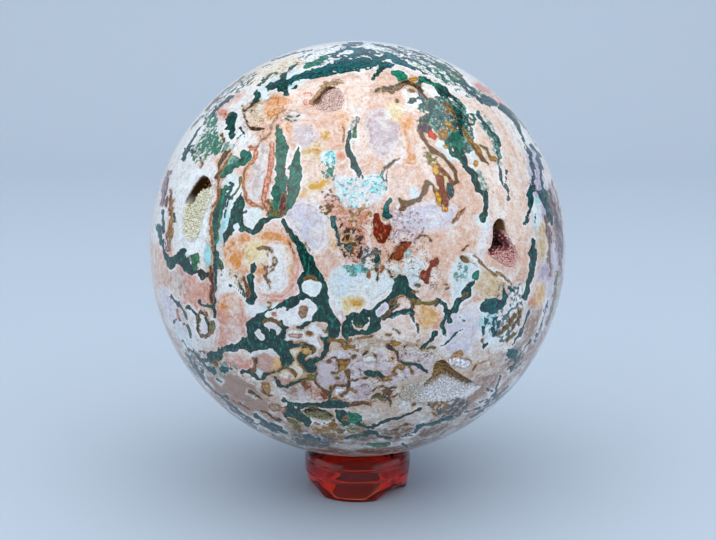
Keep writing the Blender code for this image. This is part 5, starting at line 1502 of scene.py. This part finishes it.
# %% Rust
halo = add("MapRange", (edge["rust"], -0.6, 0.0, 0.0, 0.45), **EASED)
colour = add("Mix", (halo, colour, shade("C49A66")), **MIXED)
mottle = add("MapRange", (noise["freckle"], 0.38, 0.64, 0.4, 1.6))
rust = add("Mix", (1.0, tints["rust"], mottle), **TINTED)
rim = add("MapRange", (edge["rust"], 0.0, 0.4, 0.95, 0.0), **EASED)
rust = add("Mix", (rim, rust, shade("6A4E40")), **TINTED)
flecks = add("MapRange", (fibre, 0.54, 0.68, 0.0, 0.45), **EASED)
rust = add("Mix", (flecks, rust, shade("D0A888")), **MIXED)
cover = add("MapRange", (edge["rust"], -0.2, 0.15, 0.0, 0.97), **EASED)
colour = add("Mix", (cover, colour, rust), **MIXED)
print("layer nodes", len(tree.nodes))

# %% Polish, rough stone and painted shade in the hollows
in_hollow = add("MapRange", (held["hollow"], 0.05, 0.7), **EASED)
# brown over every pocket and pit: iron stain with painted shade
colour = add("Mix", (in_hollow, colour, shade("8A6A4C")), **MIXED)
roughness = add("MapRange", (in_hollow, 0.0, 1.0, 0.14, 0.6))
relief = add("Math", (in_hollow, noise["ragged"]), operation="MULTIPLY")
bump = add("Bump", {"Height": relief, "Distance": 0.4 * MM, "Strength": 0.8})
colour = add("HueSaturation", {"Saturation": 1.22, "Color": colour})
surface = add("BsdfPrincipled", {"Base Color": colour, "Roughness": roughness, "IOR": 1.54, "Normal": bump})
add("OutputMaterial", {"Surface": surface})
ball.data.materials.append(agate)
print("agate nodes", len(tree.nodes))

# %% [markdown]
# ## Crusts of quartz crystals
#
# Each pocket is lined with druse: quartz crystals a millimetre across that stand on the wall and point into the
# hollow. Part of a pocket is shallow and part is a deep cave, so the crust's upper surface is a height
# field, and crystals, each a six-sided prism with a point, stand along its normals. In the cave the crust is
# tinted iron brown darkened as painted shade, near black in the right pocket and the slot.

# %% How each crust looks
# tip and root colours in the shallow part and in the cave, and the cave's outline in photo pixels; the
# darker roots are painted shade, the cave colours are iron brown darkened as painted shade, and the duller
# tint at the lower pocket's left end is painted shade too
CRUSTS = {
    "left_pocket_druse": dict(
        seed=11, spacing=0.72, height=0.95, rim=0.12, bowl=0.7, floor=5.2, lip="F6F6F2",
        tip="F8F4DE", root="C8BA90", cave_tip="B88446", cave_root="4A3016",
        cave="185,204 188,193 194,182 200,176 208,176 211,182 209,188 203,190 198,192 194,198 192,203 188,206"),
    "right_pocket_druse": dict(
        seed=12, spacing=0.7, height=0.9, rim=0.2, bowl=1.4, floor=6.0, lip="E2BCB6",
        tip="ECB6B0", root="A05050", cave_tip="3A1512", cave_root="0C0404",
        cave="494,222 499,218 505,220 508,226 506,232 507,238 511,244 509,250 501,251 495,255 487,252 493,246 "
             "492,238 491,230"),
    "lower_pocket_druse": dict(
        seed=13, spacing=0.75, height=0.95, rim=0.12, bowl=1.1, floor=2.8, lip="DAD6D6",
        tip="F6F6FA", root="DED8D6", cave_tip="BC9660", cave_root="8E6C40", dull="D4CABE", dull_mm=(-9.0, -2.5),
        cave="432,361 440,359 449,361 455,367 463,374 473,383 466,387 455,383 445,380 436,385 427,390 423,386 430,377"),
    "upper_pocket_druse": dict(
        seed=14, spacing=0.65, height=0.7, rim=0.08, bowl=0.4, floor=1.5, lip="EFDAD0",
        tip="EED0C6", root="D0A696", cave_tip="B88A64", cave_root="6A4226",
        cave="313,104 316,97 322,90 330,84 338,82 343,84 338,88 330,90 324,96 320,104"),
    "slot_druse": dict(
        seed=15, spacing=0.65, height=0.8, rim=0.12, bowl=0.8, floor=2.6, lip="E6E2CE",
        tip="A8A27C", root="4E4428", cave_tip="3A2A18", cave_root="0E0804",
        cave="303,412 307,406 316,404 326,407 333,414 333,418 326,415 318,412 311,413"),
    "back_pocket_druse": dict(
        seed=16, spacing=0.8, height=1.1, rim=0.3, bowl=2.0, floor=5.4, lip="EAE4DE",
        tip="F2EEE8", root="C0B49E", cave_tip="A08C74", cave_root="5A4632", cave=None),
}
RIM_SHARE = 0.985
CRUST_RINGS, CRUST_SECTORS = 30, 108


def crust_shape(name):
    """Functions for one crust: the place of a point on the mouth's plane at some depth, and the depth of the
    crust's upper surface there. That surface is a shallow bowl with the cave let into it."""
    pocket, look, line = POCKETS[name], CRUSTS[name], pocket_lines[name]
    out, right, up = local_axes(pocket["azimuth"], pocket["elevation"])
    if look["cave"]:
        _, _, (points,) = read_entry("umber " + look["cave"])
        mouth = place_on_ball(smooth_curve(points, True, 1.0))
        cave = np.stack([mouth @ right, mouth @ up], 1)
    else:
        cave = line.mean(0) + (line - line.mean(0)) * 0.55

    def place(flat, depth):
        moved = flat + np.outer(depth / pocket["depth"], pocket["lean"])
        height = np.sqrt(POLISHED_RADIUS_MM ** 2 - (moved ** 2).sum(1)) - depth
        return moved[:, :1] * right + moved[:, 1:] * up + height[:, None] * out

    def wall_depth(flat):
        share = np.clip(share_of_outline(flat, line), 0, 1)
        return np.interp(share, WALL_SHARES[::-1], WALL_DEPTHS[::-1]) * pocket["depth"] - WALL_GAP_MM

    def in_cave(flat):
        away, _, _ = distance_to_line(flat, cave, True)
        return smoothstep(-0.5, 1.0, np.where(inside(flat, cave), away, -away))

    def top_depth(flat):
        share = share_of_outline(flat, line)
        bowl = look["rim"] + look["bowl"] * smoothstep(0, 0.6, 1 - share)
        return np.minimum(bowl + in_cave(flat) * (look["floor"] - bowl), wall_depth(flat) - 0.05)

    return line, place, wall_depth, in_cave, top_depth


# %% Grow the crystals
def crystal_form():
    """A six-sided prism with a point: rings of six at three heights, then the tip. Radius and height are 1."""
    turn = np.arange(6) * math.pi / 3
    ring = np.stack([np.cos(turn), np.sin(turn)], 1)
    rows = [np.c_[ring * r, np.full(6, z)] for r, z in ((0.9, -0.35), (1.0, 0.5))]
    points = np.concatenate(rows + [np.array([[0, 0, 1.0]])])
    sides = [(i, (i + 1) % 6, 6 + (i + 1) % 6, 6 + i) for i in range(6)]
    cap = [(6 + i, 6 + (i + 1) % 6, 12) for i in range(6)]
    return points, sides + cap + [tuple(range(5, -1, -1))]


def build_crust(name, material):
    """One closed bag, its upper side the crystal bed and its under side the pocket's wall, with the crystals
    joined to it."""
    look = CRUSTS[name]
    line, place, wall_depth, in_cave, top_depth = crust_shape(name)
    rng = np.random.default_rng(look["seed"])
    middle = line.mean(0)
    rim = line[np.linspace(0, len(line), CRUST_SECTORS, endpoint=False).astype(int)]
    shares = np.sin(np.linspace(0, 1, CRUST_RINGS + 1)[1:] * math.pi / 2) * RIM_SHARE
    flat = (middle + (rim - middle)[None] * shares[:, None, None]).reshape(-1, 2)
    top = top_depth(flat) + rng.normal(0, 0.06, len(flat))
    under = np.maximum(wall_depth(flat), top + 0.02)
    last = (CRUST_RINGS - 1) * CRUST_SECTORS
    top_points, under_points = place(flat, top), place(flat[:last], under[:last])
    poles = np.concatenate([place(middle[None], top_depth(middle[None])), place(middle[None],
                                                                               wall_depth(middle[None]))])
    points = np.concatenate([top_points, under_points, poles])
    offset_under = len(top_points)
    pole_top, pole_under = len(points) - 2, len(points) - 1
    j = np.arange(CRUST_SECTORS)
    k = (j + 1) % CRUST_SECTORS
    faces = [(pole_top, a, b) for a, b in zip(j, k)]
    faces += [(offset_under + b, offset_under + a, pole_under) for a, b in zip(j, k)]
    for ring in range(CRUST_RINGS - 1):
        lower, upper = ring * CRUST_SECTORS, (ring + 1) * CRUST_SECTORS
        faces += [(lower + a, upper + a, upper + b, lower + b) for a, b in zip(j, k)]
        edge = upper if ring == CRUST_RINGS - 2 else offset_under + upper
        faces += [(offset_under + lower + a, offset_under + lower + b, edge + b, edge + a) for a, b in zip(j, k)]
    # in the cave the bed takes the cave colours: iron brown darkened as painted shade
    dark = in_cave(flat)[:, None]
    lip = smoothstep(0.8, 0.96, share_of_outline(flat, line))[:, None]

    def tint_at(kind, place_mm):
        # the lower pocket's tints turn duller toward its left end: painted shade
        lit_share = smoothstep(*look["dull_mm"], place_mm[:, :1]) if "dull" in look else 1.0
        return linear(look[kind]) * lit_share + linear(look.get("dull", look[kind])) * (1 - lit_share)

    bed = tint_at("root", flat) * (1 - lip) + tint_at("lip", flat) * lip
    bed = bed * (1 - dark) + linear(look["cave_root"]) * dark
    bed_colour = np.concatenate([bed, bed[:last], bed[:1], bed[:1]])

    low, high = line.min(0), line.max(0)
    across = np.arange(low[0], high[0], look["spacing"])
    rows = np.arange(low[1], high[1], look["spacing"] * 0.87)
    seat = np.stack(np.meshgrid(across, rows), -1)
    seat[1::2, :, 0] += look["spacing"] / 2
    seat = seat.reshape(-1, 2)
    seat += rng.uniform(-0.3, 0.3, seat.shape) * look["spacing"]
    seat = seat[inside(seat, line)]
    seat = seat[share_of_outline(seat, line) < 0.93]
    depth = top_depth(seat)
    base = place(seat, depth)
    step = 0.08
    du = place(seat + [step, 0], top_depth(seat + [step, 0])) - place(seat - [step, 0], top_depth(seat - [step, 0]))
    dv = place(seat + [0, step], top_depth(seat + [0, step])) - place(seat - [0, step], top_depth(seat - [0, step]))
    normal = unit(unit(np.cross(du, dv)) + rng.normal(0, 0.28, base.shape))
    side = unit(np.cross(normal, rng.normal(0, 1, base.shape)))
    third = np.cross(normal, side)
    radius = look["spacing"] * rng.uniform(0.42, 0.66, len(base))
    tall = look["height"] * rng.uniform(0.5, 1.0, len(base))
    form, form_faces = crystal_form()
    crystals = (base[:, None] + form[None, :, :1] * (side * radius[:, None])[:, None]
                + form[None, :, 1:2] * (third * radius[:, None])[:, None]
                + form[None, :, 2:] * (normal * tall[:, None])[:, None])
    # crystals in the cave take the cave colours: iron brown darkened as painted shade
    dark = in_cave(seat)[:, None]
    tip = (tint_at("tip", seat) * (1 - dark) + linear(look["cave_tip"]) * dark) * rng.uniform(0.8, 1.08, dark.shape)
    lip = smoothstep(0.8, 0.96, share_of_outline(seat, line))[:, None]
    root = tint_at("root", seat) * (1 - lip) + tint_at("lip", seat) * lip
    root = root * (1 - dark) + linear(look["cave_root"]) * dark
    rise = smoothstep(-0.3, 0.75, form[:, 2])[None, :, None]
    crystal_colour = root[:, None] * (1 - rise) + tip[:, None] * rise
    start = len(points) + np.arange(len(base)) * len(form)
    for face in form_faces:
        faces += (start[:, None] + np.array(face)).tolist()
    points = np.concatenate([points, crystals.reshape(-1, 3)])
    piece = mesh_piece(name.replace("_druse", "_crystals"), points, faces, smooth=False)
    set_colours(piece, "tint", np.concatenate([bed_colour, crystal_colour.reshape(-1, 3)]))
    piece.data.materials.append(material)
    print(piece.name, len(base), "crystals,", len(points), "points")
    return piece


# %% [markdown]
# ### The druse's finish
#
# The crystals are milky quartz, neither cut nor polished, so every face is a small flat mirror. The tint is
# stored along each crystal, darker at the root, where light hardly reaches, and pale at the point.

# %% Druse material and pieces
druse = bpy.data.materials.new("grown quartz druse")
druse.use_nodes = True
tree = druse.node_tree
tree.nodes.clear()
here = add("TexCoord").outputs["Object"]
tint = add("Attribute", attribute_name="tint").outputs["Color"]
milk = add("TexNoise", (here, 1 / (0.7 * MM), 2.0))
cloudy = add("MapRange", (milk, 0.3, 0.7, 0.82, 1.1))
colour = add("Mix", (1.0, tint, cloudy), **TINTED)
surface = add("BsdfPrincipled", {"Base Color": colour, "Roughness": 0.3, "IOR": 1.54})
add("OutputMaterial", {"Surface": surface})
crusts = {name: build_crust(name, druse) for name in POCKETS}

# %% [markdown]
# ## The ring stand
#
# The stand is a ring of red glass pressed in a mould: a rounded lip that the ball rests on, a barrel, and
# three feet left between three arches. The surface is its profile turned about the upright axis, and over each arch
# the lowest part of the profile is lifted, most at the table and not at all a few millimetres up.

# %% The ring's surface
RING_PROFILE_MM = [
    (14.0, 17.0), (15.8, 16.75), (17.5, 16.0), (19.0, 14.9), (19.7, 13.6),
    (19.85, 12.9), (19.5, 12.4), (19.9, 11.9), (19.9, 9.6), (19.8, 8.4), (19.4, 7.9), (19.7, 7.4), (19.2, 4.0), (18.8, 1.2), (17.9, 0.0),
    (14.2, 0.0), (13.0, 1.2), (12.3, 5.0), (12.2, 11.0), (12.5, 14.6), (13.1, 16.3),
]
ARCH_AZIMUTHS = (50.5, 170.5, -69.5)
ARCH_RADIUS_MM, ARCH_DROP_MM = 13.5, 10.2
LIFT_HEIGHT_MM = 7.0
RING_SECTORS = 192


def ring_surface():
    """Profile round the ring's section against angle about Z. Over an arch, a height z below the lift's
    height h becomes z + a (1 - z / h), where a is the arch's own height at that place."""
    profile = smooth_curve(RING_PROFILE_MM, True, 0.35)
    profile[:, 1] = np.clip(profile[:, 1], 0, 17.0)
    angle = np.linspace(0, 2 * math.pi, RING_SECTORS, endpoint=False)
    r, a = np.meshgrid(profile[:, 0], angle, indexing="ij")
    z = np.repeat(profile[:, 1:], RING_SECTORS, 1)
    lift = np.zeros_like(z)
    for azimuth in ARCH_AZIMUTHS:
        from_arch = a - math.radians(azimuth)
        across = r * np.sin(from_arch)
        arch = np.sqrt(np.maximum(ARCH_RADIUS_MM ** 2 - across ** 2, 0)) - ARCH_DROP_MM
        lift = np.maximum(lift, np.where(np.cos(from_arch) > 0, arch, 0))
    z = z + lift * np.clip(1 - z / LIFT_HEIGHT_MM, 0, 1)
    points = np.stack([r * np.sin(a), -r * np.cos(a), z], -1).reshape(-1, 3)
    n = len(profile)
    i, j = np.meshgrid(np.arange(n), np.arange(RING_SECTORS), indexing="ij")
    down, beside = (i + 1) % n, (j + 1) % RING_SECTORS
    quads = np.stack([i * RING_SECTORS + j, down * RING_SECTORS + j, down * RING_SECTORS + beside,
                      i * RING_SECTORS + beside], -1)
    return points, quads.reshape(-1, 4)


ring_points, ring_quads = ring_surface()
ring = mesh_piece("pressed_glass_ring", ring_points, ring_quads.tolist(), offset=np.zeros(3))
print("ring:", len(ring_points), "points, height", round(float(ring_points[:, 2].max()), 2), "mm")

# %% [markdown]
# ### Red glass
#
# Soda glass has an IOR near 1.5, and fire polishing leaves it almost perfectly smooth. Its red is in the
# body of the glass: the volume absorbs green and blue within a few millimetres, so the thick
# barrel looks almost black red and the thin lit foot glows orange.

# %% Glass material
glass = bpy.data.materials.new("pressed red glass")
glass.use_nodes = True
tree = glass.node_tree
tree.nodes.clear()
surface = add("BsdfPrincipled", {"Base Color": shade("FFF4F0"), "Roughness": 0.02, "IOR": 1.5,
                                 "Transmission Weight": 1.0})
body = add("VolumeAbsorption", {"Color": shade("FAB044"), "Density": 480.0})
add("OutputMaterial", {"Surface": surface, "Volume": body})
ring.data.materials.append(glass)

# %% [markdown]
# ## Floor and light
#
# The floor is plain and pale, and curves up into a plain backdrop far behind. The light is soft: one wide lamp
# above and in front for the top of the ball, a weaker one from each side, and a dim even sky.

# %% The studio
def backdrop_surface():
    """A sheet with x across and s along: flat for the first part of s, then a quarter circle, then upright."""
    s = np.concatenate([np.linspace(-2.0, 0.9, 12), 0.9 + 0.6 * np.sin(np.linspace(0, 1, 17)[1:] * math.pi / 2),
                        [1.5]])
    z = np.concatenate([np.zeros(12), 0.6 - 0.6 * np.cos(np.linspace(0, 1, 17)[1:] * math.pi / 2), [2.4]])
    x = np.linspace(-2.2, 2.2, 9)
    points = np.stack([np.tile(x, len(s)), np.repeat(s, len(x)), np.repeat(z, len(x))], 1)
    i, j = np.meshgrid(np.arange(len(s) - 1), np.arange(len(x) - 1), indexing="ij")
    a = i * len(x) + j
    return points, np.stack([a, a + 1, a + len(x) + 1, a + len(x)], -1).reshape(-1, 4)


floor_points, floor_quads = backdrop_surface()
floor = mesh_piece("floor", floor_points / MM, floor_quads.tolist(), offset=np.zeros(3))
paint = bpy.data.materials.new("matt painted board")
paint.use_nodes = True
board = paint.node_tree.nodes["Principled BSDF"]
board.inputs["Base Color"].default_value = shade("BECAD9")
board.inputs["Roughness"].default_value = 0.85
floor.data.materials.append(paint)


def add_lamp(name, place, size, watts, colour):
    """A square area lamp that faces the ball's middle."""
    lamp = bpy.data.objects.new(name, bpy.data.lights.new(name, "AREA"))
    bpy.context.scene.collection.objects.link(lamp)
    lamp.data.size = size
    lamp.data.energy = watts
    lamp.data.color = linear(colour)
    toward = Matrix(np.stack([RIGHT, UP, -TO_BALL]).T.tolist())
    back = unit(np.array(place) - BALL_CENTRE)
    across = unit(np.cross([0, 0, 1.0], back) + 1e-9 * RIGHT)
    toward = Matrix((across, np.cross(back, across), back)).transposed().to_4x4()
    toward.translation = place
    lamp.matrix_world = toward
    return lamp


add_lamp("key lamp above the camera", (0.0, -0.5, 1.7), 2.8, 42.0, "F8FDFF")
add_lamp("side lamp left", (-1.6, -0.6, 0.6), 2.4, 14.5, "F0F9FF")
add_lamp("side lamp right", (1.6, -0.6, 0.6), 2.4, 14.5, "F0F8FF")
world = bpy.data.worlds.new("studio")
bpy.context.scene.world = world
world.use_nodes = True
world.node_tree.nodes["Background"].inputs["Color"].default_value = shade("E2EBF6")
world.node_tree.nodes["Background"].inputs["Strength"].default_value = 0.22
bpy.context.scene.view_settings.view_transform = "Standard"

# %% [markdown]
# ## Each piece in its place
#
# Every piece rides on the one body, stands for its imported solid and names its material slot.

# %% Ride, replace and finish
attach(ball, "root")
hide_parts("agate_ball")
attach(ring, "root")
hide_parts("ring_stand")
for name, crust in crusts.items():
    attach(crust, "root")
    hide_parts(name)

bpy.context.view_layer.update()
